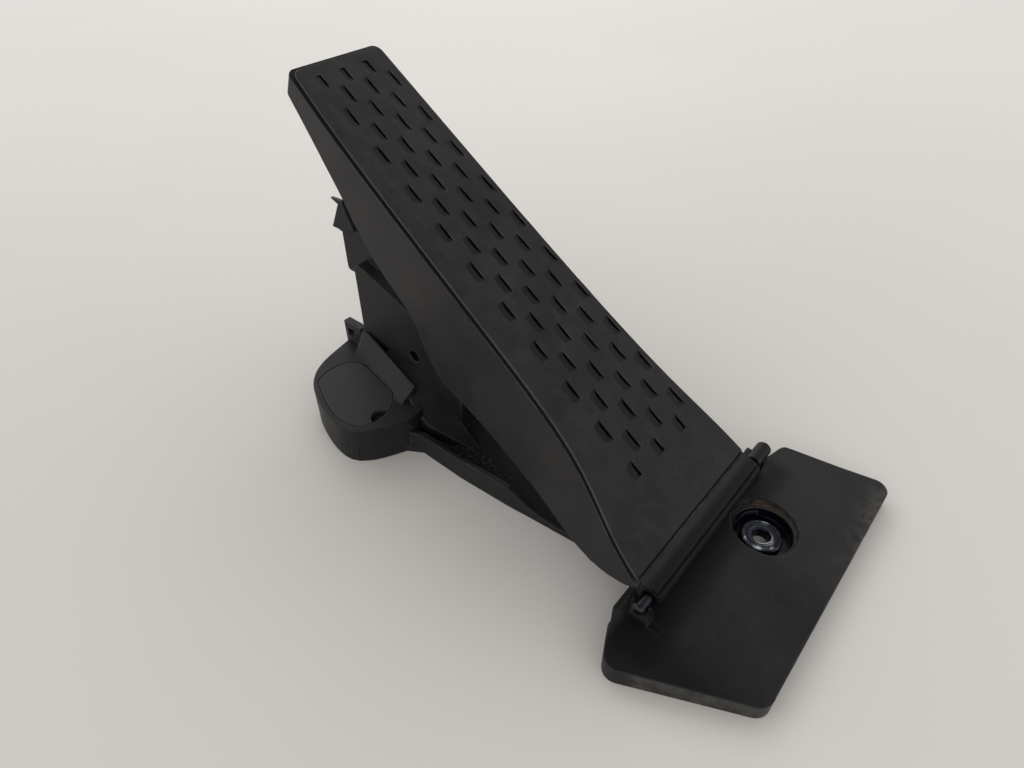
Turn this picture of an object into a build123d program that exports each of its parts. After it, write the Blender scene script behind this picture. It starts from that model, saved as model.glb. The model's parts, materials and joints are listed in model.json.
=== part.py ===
"""Floor-hinged accelerator pedal with a woven tread, built as named sub-parts in one frame.

Frame, in millimetres: X runs along the hinge pin (plus = right of the heel-to-toe line), Y runs from
the foot plate (minus) to the free end of the treadle (plus), Z is up from the mounting face at z = 0.
"""
import math
import os

from build123d import *

# Treadle: pitch of the tread at rest and the line where its face starts
PITCH = 33.7
FACE_Z = 28.0
TREAD_LEN = 235.0
PAD_START = 1.2
FACE_STEP = 1.1
EDGE_LAND = 1.6
SLAB_T = 4.0
SKIRT_T = 2.4
SKIRT_REACH = 62.0
SKIRT_LEAN = 8.5
CORNER_LOW_R = 3.0
CORNER_HIGH_R = 4.0
PAD_ROUND = 0.4
LEFT_EDGE = [(-54.4, 0.0), (-49.6, 21.0), (-42.6, 42.0), (-38.6, 64.0), (-36.2, 96.0), (-33.4, 150.0), (-26.6, 235.0)]
RIGHT_EDGE = [(28.2, 0.0), (26.3, 21.0), (23.5, 42.0), (21.4, 64.0), (19.8, 96.0), (18.6, 150.0), (18.0, 235.0)]
SKIRT_LOW = [(235.0, 11.5), (206.0, 20.5), (190.0, 27.0), (170.0, 36.0), (150.0, 40.0), (137.0, 42.0), (126.0, 49.0),
             (117.0, 55.0), (108.0, 57.5), (94.0, 54.5), (70.0, 49.0), (47.0, 42.5), (28.0, 33.5), (11.0, 21.0),
             (2.0, 9.0)]
RIB_T = 2.0
RIB_D = 9.0
RIB_X = (-24.0, -17.0, 1.5, 13.0)
RIB_RUN = (8.0, 170.0)
RIB_SLOPE = (8.0, 4.0)
CROSS_RIB_S = (40.0, 72.0, 130.0, 165.0)
CROSS_RIB_D = 7.5
CROSS_RIB_SHY = 0.3
ROOT_SUNK = 0.5
CORE_START = -4.0
SIDE_OVER = 4.0
SIDE_UP = 3.0
SIDE_END_D = 11.0
SIDE_HALF = 70.0

# Overshoot of cutting tools
CUT_OVER = 1.0
CUT_DEEP = 30.0

# Tread pattern: six fanned columns of stepped slits, alternate columns half a pitch apart
SLIT_COLS = 6
SLIT_ROWS = 10
SLIT_PITCH = 19.9
SLIT_S0 = 227.6
SLIT_LEN = 8.6
SLIT_DEPTH = 1.3
SLIT_RUN = 5.2
SLIT_END_SHARE = 0.45
SLIT_TOE = 0.05
FAN_LOW = (-24.4, 17.9)
FAN_HIGH = (-18.7, 12.0)

# Hinge
PIN_Y = -3.0
PIN_Z = 22.0
PIN_R = 2.5
PIN_RUN = 0.05
PIN_X0 = -61.5
PIN_X1 = 42.0
NOSE_R = 4.6
NOSE_GAP = 0.8
NOSE_X0 = -53.6
NOSE_X1 = 28.6
NOSE_GROOVE_R = 0.55
NOSE_BACK = [(-0.6, -0.3), (3.0, 1.4), (6.0, SLAB_T)]
NOSE_PLAY = 7.0
TRAVEL = 12.0
SADDLE_W = 4.4
SADDLE_L = 8.0
SADDLE_GAP = 0.4
SADDLE_IN = 6.0
SADDLE_UP = 0.8
PIN_DOME = 1.8
PIN_CHAMFER = 0.6
PIN_SLOT_UP = 0.6
PIN_SLOT_SHY = 0.5
PIN_SLOT_H = 8.0
PIN_CAP_R = 3.4
PIN_CAP_T = 1.6
PIN_CAP_L = 12.4
PIN_CAP_ROUND = 1.2

# Foot plate
PLATE_FRONT = -54.0
PLATE_FRONT_Z = 7.8
PLATE_TOP_Y = -9.0
PLATE_LEFT_R = 6.5
PLATE_RIGHT_R = 5.5
PLATE_BACK_R = 6.0
PLATE_TOP_Z = 12.5
PLATE_BLOCK_Z = 20.0
PLATE_OUT = [(-56.4, -54.0), (73.0, -53.4), (66.5, -31.7), (60.0, -7.0), (47.5, -4.0), (47.5, 5.0), (-50.0, 5.0),
             (-66.0, 5.0), (-80.3, -2.0)]
FACET = [(-56.4, -54.0, 7.8), (-78.6, -2.0, 9.2), (-48.8, -10.5, 12.3)]
FOOT_X = 12.6
FOOT_Y = -20.0
FOOT_WELL_R = 13.9
FOOT_RING_R = 12.4
FOOT_RING_Z = 8.0
HINGE_BLOCK_Z = 9.0
HINGE_BLOCK_L = 16.0
HINGE_BLOCK_OVER = 8.0
HINGE_CLEAR_L = 24.0
HINGE_CLEAR_H = 20.0
FOOT_SEAT_Z = 3.0

# Base
FLOOR_T = 3.5
FLOOR_OUT = [(-38.0, -4.0), (-37.0, 34.0), (-39.5, 66.0), (-41.5, 102.0), (-41.0, 126.0), (-47.0, 136.0), (-20.0, 196.0),
             (16.0, 196.0), (33.0, 168.0), (33.0, -4.0)]
LIP_Z = 12.0
LIP_T = 2.5
LIP_LEFT = [(-40.3, 74.0), (-41.5, 102.0), (-41.0, 126.0), (-44.0, 134.0)]
LIP_RIGHT_X = 30.5
LIP_RIGHT_Y = 112.0
LIP_RIGHT_L = 100.0
EAR_X = -45.5
EAR_Y = 163.0
EAR_Z = 20.0
EAR_OUT = [(-44.0, 132.5), (-55.0, 138.0), (-63.0, 144.5), (-66.0, 151.0), (-65.6, 160.0), (-61.5, 174.0),
           (-54.5, 187.0), (-47.0, 193.5), (-30.0, 199.0), (-16.0, 202.0), (-14.0, 190.0), (-34.0, 132.0)]
RIDGE = [(-29.8, 140.0), (-19.2, 186.0)]
RIDGE_FLAT = 1.0
RIDGE_W = 8.5
RIDGE_Z = 27.5
RIDGE_BACK_Z = 34.0
CAP_T = 2.4
CAP_GAP = 0.15
CAP_SKIRT_T = 1.6
CAP_SKIRT_H = 4.0
CAP_OUT = [(-54.0, 183.5), (-60.0, 170.0), (-63.0, 155.0), (-60.0, 146.0), (-50.0, 143.0), (-38.0, 147.5), (-31.5, 158.0),
           (-29.0, 174.0), (-32.0, 185.0), (-43.0, 188.5)]
NOTCH = (-49.5, 143.0)
NOTCH_R = 5.0
BACK_X = 41.0
BACK_Y = 150.0
BACK_R = 13.0
BACK_Z = 16.0

# Mount bushes
BUSH_R = 5.0
BUSH_BORE_R = 3.4
BUSH_FLANGE_R = 8.8
BUSH_FLANGE_T = 2.0
BUSH_RIM = 0.5
BUSH_LEAD = 0.7
BOSS_SEAT_Z = 8.0
WELL_R = 11.0

# Housing with lever chamber (left) and sensor chamber (right)
HOUSE_X0 = -20.0
HOUSE_X1 = 12.0
HOUSE_Y0 = 120.0
HOUSE_Y1 = 191.0
HOUSE_CORNER = 5.0
HOUSE_WALL = 2.6
CHAMBER_Y1 = 174.0
LUG_HOLE = 5.0
REAR_LUG = (4.0, 13.0, 27.0)
REAR_LUG_X = -17.0
REAR_LUG_Y = 197.0
LUG_HOLE_Y = 199.0
LUG_HOLE_Z = 24.5
ROOF_BEVEL_Y = 8.0
ROOF_BEVEL_Z = 10.0
ROOF_Z0 = 48.5
ROOF_SLOPE = 0.375
WEB_X0 = -0.6
WEB_X1 = 2.4
SENSOR_Z0 = 10.0
SENSOR_WALL = 4.0
SENSOR_BEVEL_Y = 11.0
SENSOR_BEVEL_Z = 15.0
SLOT_W = 10.0
SLOT_Z = 24.0
SLOT_L = 34.0
SLOT_H = 60.0
TOWER_X0 = -14.0
TOWER_X1 = 10.0
TOWER_Y0 = 176.0
TOWER_Y1 = 199.0
TOWER_Z0 = 58.0
TOWER_Z1 = 86.0
TOWER_R = 5.0
SOCKET_R = 2.0
FIN_H = 12.0
FIN_T = 2.2
FIN = [(-9.0, -1.0), (-1.0, -4.0), (7.0, -4.0), (0.0, FIN_H - 2.5), (5.0, FIN_H - 0.5), (-3.0, FIN_H)]
SOCKET_DEPTH = 11.0
SOCKET_WALL = 2.2
SOCKET_Z = 78.0
SOCKET_H = 11.6

# Drive lever, rotating shaft and roller
LEVER_Y = 150.0
LEVER_Z = 34.0
LEVER_X = -8.0
LEVER_RATIO = 1.45
ARM_W = 7.0
ARM_T = 7.5
HUB_R = 7.5
HUB_W = 12.0
SHAFT_R = 3.0
SHAFT_RUN = 0.05
ROLL_Y = 95.0
ROLL_Z = 72.0
ROLL_R = 5.0
ROLL_W = 7.4
ROLL_PIN_R = 2.0
CAM_GAP = 0.35
CAM_OVER = 3.0
CAM_POINTS = 9
LUG_T = 3.0
LUG_R = 5.0
LUG_FOOT = 9.0
LUG_GAP = 0.3
LUG_BORE_OVER = 4.0
ROLL_RUN = 0.04
CAM_TIP = 6.0
ARM_HUB_Y = 2.0
ARM_HUB_Z = 0.3
ARM_NECK = 8.0
PAD_T = 4.5
PAD_ARM = 6.5
PAD_ARM_UP = 3.0
SHAFT_SHY = 0.8
SHAFT_OUT = 2.0

# Springs and seats
SPRING_REACH = 18.5
SPRING_TOP = 31.0
PAD_Z = 34.0
PAD_R = 7.0
SEAT_R = 7.4
COVER_T = 3.0
COVER_LAP = 1.2
SPIGOT_H = 4.0
SPIGOT_GAP = 0.4
SEAT_SPIGOT_H = 5.0
OUTER_R = 6.4
OUTER_WIRE = 1.5
OUTER_TURNS = 5.0
INNER_R = 3.6
INNER_WIRE = 1.0
INNER_TURNS = 6.0
WIRE_SIDES = 6

# Sensor
CARRIER_R = 5.2
CARRIER_T = 3.4
CARRIER_GAP = 0.4
MAGNET_R = 3.6
MAGNET_T = 1.5
BOARD_X = 8.0
BOARD_T = 1.6
BOARD_H = 32.0
BOARD_SHY = 15.0
CHIP_T = 1.1
CHIP_W = 3.6
CHIP_H = 4.6
CHIP_OFF = 2.2
LID_T = 2.0
SEAL_T = 0.8
SCREW_R = 1.3
SCREW_HEAD_R = 2.6
SCREW_LEN = 9.0
SCREW_HEAD_T = 1.6
SCREW_KEY_R = 1.2
SCREW_BOSS_R = 3.6
SCREW_IN = 8.0
SCREW_UP = 4.0
SCREW_DOWN = 6.0
SCREW_BACK = 15.0
SCREW_PLAY = 0.3
LID_Z0 = 4.0
TERM_W = 0.9
TERM_N = 6
TERM_X0 = -9.5
TERM_STEP = 3.0
TERM_ROOT = 5.0
TERM_SHY = 2.0

# Stop
STOP_X = 6.5
STOP_Y = 140.0
STOP_R = 5.5
STOP_H = 6.0
STOP_SUNK = 3.0
STOP_GAP = 0.4
STOP_PAD_W = 9.0
STOP_PAD_FOOT = 4.0
STOP_CHAMFER = 1.2
STOP_SEAT_H = 14.0

os.makedirs("parts", exist_ok=True)

tilt = math.radians(PITCH)
along = (0.0, math.cos(tilt), math.sin(tilt))
normal = (0.0, -math.sin(tilt), math.cos(tilt))
face_plane = Plane(origin=(0, 0, FACE_Z), x_dir=(1, 0, 0), z_dir=normal)


def on_tread(x, s, d):
    """World point of tread coordinates: x across, s along from the hinge, d below the face."""
    return (x, s * along[1] - d * normal[1], FACE_Z + s * along[2] - d * normal[2])


def to_tread(y, z):
    """Tread coordinates (s, d) of a world point."""
    return (y * along[1] + (z - FACE_Z) * along[2], -(y * normal[1] + (z - FACE_Z) * normal[2]))


def turned(y, z, cy, cz, degrees):
    """Point turned about an X-parallel axis, positive from +Y towards +Z."""
    a = math.radians(degrees)
    dy = y - cy
    dz = z - cz
    return (cy + dy * math.cos(a) - dz * math.sin(a), cz + dy * math.sin(a) + dz * math.cos(a))


def edge_at(edge, s):
    """Linear x of a tread edge list at length s."""
    for (xa, sa), (xb, sb) in zip(edge, edge[1:]):
        if sa <= s <= sb:
            return xa + (xb - xa) * (s - sa) / (sb - sa)
    return edge[-1][0]


def roof(y):
    """Height of the housing roof at y."""
    return ROOF_Z0 + ROOF_SLOPE * (y - HOUSE_Y0)


def shrunk(points, gap):
    """Points of a closed outline pulled towards its middle by a gap."""
    mx = sum(q[0] for q in points) / len(points)
    my = sum(q[1] for q in points) / len(points)
    moved = []
    for x, y in points:
        reach = math.hypot(x - mx, y - my)
        moved.append((mx + (x - mx) * (1 - gap / reach), my + (y - my) * (1 - gap / reach)))
    return moved


def tread_outline(grow_left, grow_right, s_low, s_high):
    """Tread outline face, its two sides splines moved outwards."""
    left = [(x - grow_left, s_low + s * (s_high - s_low) / TREAD_LEN) for x, s in LEFT_EDGE]
    right = [(x + grow_right, s_low + s * (s_high - s_low) / TREAD_LEN) for x, s in RIGHT_EDGE]
    sides = [Edge.make_spline([Vector(*q) for q in left]), Edge.make_line(left[-1], right[-1]),
             Edge.make_spline([Vector(*q) for q in right[::-1]]), Edge.make_line(right[0], left[0])]
    outline = Face(Wire(sides))
    low = outline.vertices().sort_by(Axis.Y)[:2].sort_by(Axis.X)
    outline = outline.fillet_2d(CORNER_LOW_R, [low[1]])
    return outline.fillet_2d(CORNER_HIGH_R, outline.vertices().sort_by(Axis.Y)[-2:])


# Treadle: face pad, slab, leaning left skirt, straight right skirt, hinge nose, ribs, roller lugs, slits
with BuildPart() as skirt_band:
    with BuildSketch(face_plane.offset(-FACE_STEP)):
        add(tread_outline(EDGE_LAND, EDGE_LAND, 0.0, TREAD_LEN + EDGE_LAND))
    with BuildSketch(face_plane.offset(-SKIRT_REACH)):
        add(tread_outline(EDGE_LAND - SKIRT_LEAN, EDGE_LAND, 0.0, TREAD_LEN + EDGE_LAND))
    loft()
with BuildPart() as skirt_core:
    with BuildSketch(face_plane.offset(-SLAB_T)):
        add(tread_outline(EDGE_LAND - SKIRT_T, EDGE_LAND - SKIRT_T, CORE_START, TREAD_LEN + EDGE_LAND - SKIRT_T))
    with BuildSketch(face_plane.offset(-SKIRT_REACH - CUT_OVER)):
        add(tread_outline(EDGE_LAND - SKIRT_T - SKIRT_LEAN, EDGE_LAND - SKIRT_T, CORE_START, TREAD_LEN + EDGE_LAND - SKIRT_T))
    loft()
skirt_edge = [on_tread(0.0, s, d)[1:] for s, d in SKIRT_LOW]
profile = [skirt_edge[-1], on_tread(0.0, 0.0, SLAB_T)[1:], on_tread(0.0, 0.0, -SIDE_UP)[1:]]
profile += [on_tread(0.0, TREAD_LEN + SIDE_OVER, d)[1:] for d in (-SIDE_UP, SIDE_END_D)] + [skirt_edge[0]]
with BuildPart() as side_profile:
    with BuildSketch(Plane.YZ.offset(-SIDE_HALF)):
        with BuildLine():
            Spline(*skirt_edge)
            Polyline(*profile)
        make_face()
    extrude(amount=2 * SIDE_HALF)
roll_s, roll_d = to_tread(ROLL_Y, ROLL_Z)
stop_top = roof(STOP_Y) + STOP_H
stop_near = turned(STOP_Y - STOP_R, stop_top + STOP_GAP, PIN_Y, PIN_Z, TRAVEL)
stop_far = turned(STOP_Y + STOP_R, stop_top + STOP_GAP, PIN_Y, PIN_Z, TRAVEL)
stop_s = to_tread(*stop_near)[0]
nose_s, nose_d = to_tread(PIN_Y, PIN_Z)
with BuildPart() as slit_cutters:
    for col in range(SLIT_COLS):
        for row in range(SLIT_ROWS + 1 - col % 2):
            shift = 0.5 if col % 2 else 0.0
            s = SLIT_S0 - (row + shift) * SLIT_PITCH
            end = col % 2 == 0 and row in (0, SLIT_ROWS)
            frac = (s - (SLIT_S0 - SLIT_ROWS * SLIT_PITCH)) / (SLIT_ROWS * SLIT_PITCH)
            x0 = FAN_LOW[0] + (FAN_HIGH[0] - FAN_LOW[0]) * frac
            x1 = FAN_LOW[1] + (FAN_HIGH[1] - FAN_LOW[1]) * frac
            x = x0 + (x1 - x0) * col / (SLIT_COLS - 1)
            length = SLIT_LEN * (SLIT_END_SHARE if end else 1.0)
            run = SLIT_RUN * (x1 - x0) / (FAN_LOW[1] - FAN_LOW[0])
            centre = on_tread(x + 0.5 * run, s, 0.0)
            with BuildSketch(Plane(origin=centre, x_dir=(1, 0, 0), z_dir=along)):
                with BuildLine():
                    Polyline((0, -CUT_OVER), (0, SLIT_DEPTH), (-run, SLIT_TOE), (-run, -CUT_OVER), close=True)
                make_face()
            extrude(amount=length / 2, both=True)
with BuildPart() as face_pad:
    with BuildSketch(face_plane):
        add(tread_outline(0.0, 0.0, PAD_START, TREAD_LEN))
    extrude(amount=-FACE_STEP - ROOT_SUNK)
    fillet(face_pad.faces().sort_by(Axis(origin=(0, 0, 0), direction=normal))[-1].edges(), radius=PAD_ROUND)
with BuildPart() as treadle:
    add(skirt_band.part)
    add(skirt_core.part, mode=Mode.SUBTRACT)
    add(side_profile.part, mode=Mode.INTERSECT)
    add(face_pad.part)
    # hinge nose with a flat land in front of the face
    with BuildSketch(Plane.YZ.offset(NOSE_X0)):
        with BuildLine():
            Polyline(on_tread(0, nose_s, nose_d - NOSE_R)[1:], *[on_tread(0, s, d)[1:] for s, d in NOSE_BACK],
                     on_tread(0, nose_s, nose_d + NOSE_R)[1:], close=True)
        make_face()
    extrude(amount=NOSE_X1 - NOSE_X0)
    with Locations(((NOSE_X0 + NOSE_X1) / 2, PIN_Y, PIN_Z)):
        Cylinder(NOSE_R, NOSE_X1 - NOSE_X0, rotation=(0, 90, 0))
    with Locations(((NOSE_X0 + NOSE_X1) / 2, *on_tread(0, nose_s, nose_d - NOSE_R)[1:])):
        Cylinder(NOSE_GROOVE_R, NOSE_X1 - NOSE_X0 + 2 * CUT_OVER, rotation=(0, 90, 0), mode=Mode.SUBTRACT)
    # ribs on the underside
    for x in RIB_X:
        with BuildSketch(Plane.YZ.offset(x - RIB_T / 2)):
            with BuildLine():
                Polyline(on_tread(0, RIB_RUN[0], SLAB_T - ROOT_SUNK)[1:], on_tread(0, RIB_RUN[1], SLAB_T - ROOT_SUNK)[1:],
                         on_tread(0, RIB_RUN[1] - RIB_SLOPE[1], RIB_D)[1:], on_tread(0, RIB_RUN[0] + RIB_SLOPE[0], RIB_D)[1:],
                         close=True)
            make_face()
        extrude(amount=RIB_T)
    for s in CROSS_RIB_S:
        with BuildSketch(Plane.YZ.offset(edge_at(LEFT_EDGE, s) + CROSS_RIB_SHY)):
            with BuildLine():
                Polyline(on_tread(0, s, SLAB_T - ROOT_SUNK)[1:], on_tread(0, s + RIB_T, SLAB_T - ROOT_SUNK)[1:],
                         on_tread(0, s + RIB_T, CROSS_RIB_D)[1:], on_tread(0, s, CROSS_RIB_D)[1:], close=True)
            make_face()
        extrude(amount=edge_at(RIGHT_EDGE, s) - edge_at(LEFT_EDGE, s) - 2 * CROSS_RIB_SHY)
    # roller lugs
    for x in (LEVER_X - ROLL_W / 2 - LUG_GAP - LUG_T, LEVER_X + ROLL_W / 2 + LUG_GAP):
        with BuildSketch(Plane.YZ.offset(x)):
            with BuildLine():
                Polyline(on_tread(0, roll_s - LUG_FOOT, SLAB_T - ROOT_SUNK)[1:],
                         on_tread(0, roll_s + LUG_FOOT, SLAB_T - ROOT_SUNK)[1:],
                         on_tread(0, roll_s + LUG_R, roll_d)[1:], on_tread(0, roll_s - LUG_R, roll_d)[1:], close=True)
            make_face()
            with Locations((ROLL_Y, ROLL_Z)):
                Circle(LUG_R)
        extrude(amount=LUG_T)
    with Locations((LEVER_X, ROLL_Y, ROLL_Z)):
        Cylinder(ROLL_PIN_R, ROLL_W + 2 * LUG_T + LUG_BORE_OVER, rotation=(0, 90, 0), mode=Mode.SUBTRACT)
    # stop pad that meets the buffer at full travel
    with BuildSketch(Plane.YZ.offset(STOP_X - STOP_PAD_W / 2)):
        with BuildLine():
            Polyline(on_tread(0, stop_s - STOP_PAD_FOOT, SLAB_T - ROOT_SUNK)[1:],
                     on_tread(0, stop_s + STOP_PAD_FOOT + 2 * STOP_R, SLAB_T - ROOT_SUNK)[1:], stop_far, stop_near, close=True)
        make_face()
    extrude(amount=STOP_PAD_W)
    with Locations(((NOSE_X0 + NOSE_X1) / 2, PIN_Y, PIN_Z)):
        Cylinder(PIN_R + PIN_RUN, NOSE_X1 - NOSE_X0 + 2 * CUT_OVER, rotation=(0, 90, 0), mode=Mode.SUBTRACT)
    add(slit_cutters.part, mode=Mode.SUBTRACT)
treadle.part.label = "treadle"
export_step(treadle.part, "parts/treadle.step")

# Hinge pin
with BuildPart() as hinge_pin:
    with Locations(((PIN_X0 + PIN_X1) / 2, PIN_Y, PIN_Z)):
        Cylinder(PIN_R, PIN_X1 - PIN_X0, rotation=(0, 90, 0))
    ends = hinge_pin.edges().filter_by(GeomType.CIRCLE).sort_by(Axis.X)
    fillet(ends[0], radius=PIN_DOME)
    chamfer(ends[-1], length=PIN_CHAMFER)
hinge_pin.part.label = "hinge_pin"
export_step(hinge_pin.part, "parts/hinge_pin.step")

# Moulded cap on the right end of the pin
with BuildPart() as pin_cap:
    with Locations((PIN_X1 + PIN_CAP_T, PIN_Y, PIN_Z)):
        Cylinder(PIN_CAP_R, PIN_CAP_L, rotation=(0, -90, 0), align=(Align.CENTER, Align.CENTER, Align.MIN))
    fillet(pin_cap.edges().filter_by(GeomType.CIRCLE).sort_by(Axis.X)[-1], radius=PIN_CAP_ROUND)
    with Locations((PIN_X1, PIN_Y, PIN_Z)):
        Cylinder(PIN_R, PIN_CAP_L, rotation=(0, -90, 0), align=(Align.CENTER, Align.CENTER, Align.MIN), mode=Mode.SUBTRACT)
pin_cap.part.label = "pin_cap"
export_step(pin_cap.part, "parts/pin_cap.step")

# Foot plate: plan block cut by the ramp and by the left facet
ramp = math.atan2(PLATE_TOP_Z - PLATE_FRONT_Z, PLATE_TOP_Y - PLATE_FRONT)
fa, fb, fc = [Vector(*p) for p in FACET]
facet_normal = (fb - fa).cross(fc - fa).normalized()
facet_normal = facet_normal if facet_normal.Z > 0 else facet_normal * -1
with BuildPart() as foot_plate:
    with BuildSketch():
        with BuildLine():
            Polyline(*PLATE_OUT, close=True)
        make_face()
    extrude(amount=PLATE_BLOCK_Z)
    corner = foot_plate.edges().filter_by(Axis.Z).sort_by(Axis.Y)[:2].sort_by(Axis.X)
    fillet(corner[0], radius=PLATE_LEFT_R)
    fillet(corner[1], radius=PLATE_RIGHT_R)
    fillet(foot_plate.edges().filter_by(Axis.Z).sort_by(Axis.X)[:2], radius=PLATE_BACK_R)
    right_side = foot_plate.edges().filter_by(Axis.Z).filter_by(lambda e: e.center().X > PIN_X1 + PIN_CAP_L)
    fillet(right_side.sort_by(Axis.Y)[-1], radius=PLATE_BACK_R)
    split(bisect_by=Plane(origin=(0, PLATE_FRONT, PLATE_FRONT_Z), z_dir=(0, -math.sin(ramp), math.cos(ramp))),
          keep=Keep.BOTTOM)
    split(bisect_by=Plane(origin=fa, z_dir=facet_normal), keep=Keep.BOTTOM)

# Ridge beside the ear, rising towards the back
ridge_len = math.dist(*RIDGE)
ridge_x = (RIDGE[1][0] - RIDGE[0][0]) / ridge_len
ridge_y = (RIDGE[1][1] - RIDGE[0][1]) / ridge_len
with BuildPart() as ridge:
    for spot, top in zip(RIDGE, (RIDGE_Z, RIDGE_BACK_Z)):
        with BuildSketch(Plane(origin=(*spot, 0), x_dir=(-ridge_y, ridge_x, 0), z_dir=(ridge_x, ridge_y, 0))):
            with BuildLine():
                Polyline((0, 0), (0, top), (RIDGE_FLAT, top), (RIDGE_W, EAR_Z), (RIDGE_W, 0), close=True)
            make_face()
    loft()

# Housing block with a sloping roof and a cut back corner
roof_bevel = [(HOUSE_Y1, roof(HOUSE_Y1) - ROOF_BEVEL_Z), (HOUSE_Y1 - ROOF_BEVEL_Y, roof(HOUSE_Y1 - ROOF_BEVEL_Y))]
with BuildPart() as housing:
    with BuildSketch(Plane.YZ.offset(HOUSE_X0)):
        with BuildLine():
            Polyline((HOUSE_Y0, 0), (HOUSE_Y1, 0), *roof_bevel, (HOUSE_Y0, roof(HOUSE_Y0)), close=True)
        make_face()
    extrude(amount=HOUSE_X1 - HOUSE_X0)
    chamfer(housing.edges().filter_by(Axis.Z).group_by(Axis.Y)[-1].sort_by(Axis.X)[0], length=HOUSE_CORNER)

# Base moulding
sensor_front = HOUSE_Y0 + SENSOR_WALL
sensor_back = HOUSE_Y1 - SENSOR_WALL
chamber_outline = [(sensor_front, SENSOR_Z0), (sensor_back, SENSOR_Z0), (sensor_back, roof(HOUSE_Y1) - SENSOR_BEVEL_Z),
                   (HOUSE_Y1 - SENSOR_BEVEL_Y, roof(HOUSE_Y1 - SENSOR_BEVEL_Y) - SENSOR_WALL),
                   (sensor_front, roof(HOUSE_Y0) - SENSOR_WALL)]
cover_w = WEB_X0 - HOUSE_X0 - HOUSE_WALL + 2 * COVER_LAP
cover_l = HOUSE_Y1 - HOUSE_Y0 - 2 * HOUSE_WALL + 2 * COVER_LAP
screw_tip = HOUSE_X1 + SEAL_T + LID_T - SCREW_LEN
screw_spots = [(HOUSE_Y0 + SCREW_IN, SENSOR_Z0 + SCREW_UP), (HOUSE_Y1 - SCREW_IN, SENSOR_Z0 + SCREW_UP),
               (HOUSE_Y0 + SCREW_IN, roof(HOUSE_Y0) - SCREW_DOWN), (HOUSE_Y1 - SCREW_BACK, roof(HOUSE_Y1) - SCREW_BACK)]
terminal_y = TOWER_Y1 - SOCKET_DEPTH - TERM_ROOT
terminal_len = TERM_ROOT + SOCKET_DEPTH - TERM_SHY
terminal_spots = [(TERM_X0 + i * TERM_STEP, terminal_y, SOCKET_Z) for i in range(TERM_N)]
with BuildPart() as base:
    with BuildSketch():
        with BuildLine():
            Polyline(*FLOOR_OUT, close=True)
        make_face()
    extrude(amount=FLOOR_T)
    add(foot_plate.part)
    # hinge block under the nose and the two pin saddles
    with Locations(((NOSE_X0 + NOSE_X1) / 2, 0.0, 0.0)):
        Box(NOSE_X1 - NOSE_X0 + HINGE_BLOCK_OVER, HINGE_BLOCK_L, HINGE_BLOCK_Z, align=(Align.CENTER, Align.CENTER, Align.MIN))
    with Locations((NOSE_X0 - SADDLE_GAP - SADDLE_W / 2, PIN_Y, 0.0), (PIN_X1 - SADDLE_IN, PIN_Y, 0.0)):
        Box(SADDLE_W, SADDLE_L, PIN_Z + SADDLE_UP, align=(Align.CENTER, Align.CENTER, Align.MIN))
    # side lips
    with BuildSketch():
        with BuildLine() as lip_line:
            Polyline(*LIP_LEFT)
            offset(amount=LIP_T, side=Side.RIGHT)
        make_face()
    extrude(amount=LIP_Z)
    with BuildSketch():
        with Locations((LIP_RIGHT_X, LIP_RIGHT_Y)):
            Rectangle(LIP_T, LIP_RIGHT_L)
    extrude(amount=LIP_Z)
    # ear, ridge and back boss
    with BuildSketch():
        with BuildLine():
            Spline(*EAR_OUT[:-2])
            Polyline(EAR_OUT[-3], EAR_OUT[-2], EAR_OUT[-1], EAR_OUT[0])
        make_face()
    extrude(amount=EAR_Z)
    add(ridge.part)
    with BuildSketch():
        with Locations((BACK_X, BACK_Y)):
            Circle(BACK_R)
        with Locations(((BACK_X + LIP_RIGHT_X) / 2, BACK_Y)):
            Rectangle(BACK_X - LIP_RIGHT_X, 2 * BACK_R)
    extrude(amount=BACK_Z)
    # housing, connector tower and rear lug with its hole
    add(housing.part)
    with BuildSketch(Plane.XZ.offset(-TOWER_Y1)):
        with Locations(((TOWER_X0 + TOWER_X1) / 2, (TOWER_Z0 + TOWER_Z1) / 2)):
            RectangleRounded(TOWER_X1 - TOWER_X0, TOWER_Z1 - TOWER_Z0, TOWER_R)
    extrude(amount=TOWER_Y1 - TOWER_Y0)
    with BuildSketch(Plane.YZ.offset(TOWER_X0)):
        with BuildLine():
            Polyline(*[(TOWER_Y1 + y, TOWER_Z1 + z) for y, z in FIN], close=True)
        make_face()
    extrude(amount=FIN_T)
    with Locations((REAR_LUG_X, REAR_LUG_Y, FLOOR_T)):
        Box(*REAR_LUG, align=(Align.CENTER, Align.CENTER, Align.MIN))
    with Locations((REAR_LUG_X, LUG_HOLE_Y, LUG_HOLE_Z)):
        Box(REAR_LUG[0] + 2 * CUT_OVER, LUG_HOLE, LUG_HOLE, mode=Mode.SUBTRACT)
    # lever chamber, open below, and its front slot
    with BuildSketch(Plane.YZ.offset(HOUSE_X0 + HOUSE_WALL)):
        with BuildLine():
            Polyline((HOUSE_Y0 + HOUSE_WALL, 0), (CHAMBER_Y1, 0), (CHAMBER_Y1, roof(CHAMBER_Y1) - HOUSE_WALL),
                     (HOUSE_Y0 + HOUSE_WALL, roof(HOUSE_Y0) - HOUSE_WALL), close=True)
        make_face()
    extrude(amount=WEB_X0 - HOUSE_X0 - HOUSE_WALL, mode=Mode.SUBTRACT)
    with Locations((LEVER_X, HOUSE_Y0, SLOT_Z)):
        Box(SLOT_W, SLOT_L, SLOT_H, align=(Align.CENTER, Align.CENTER, Align.MIN), mode=Mode.SUBTRACT)
    # rebate for the bottom cover
    with Locations(((HOUSE_X0 + HOUSE_WALL + WEB_X0) / 2, (HOUSE_Y0 + HOUSE_Y1) / 2, 0.0)):
        Box(cover_w, cover_l, COVER_T, align=(Align.CENTER, Align.CENTER, Align.MIN), mode=Mode.SUBTRACT)
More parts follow.
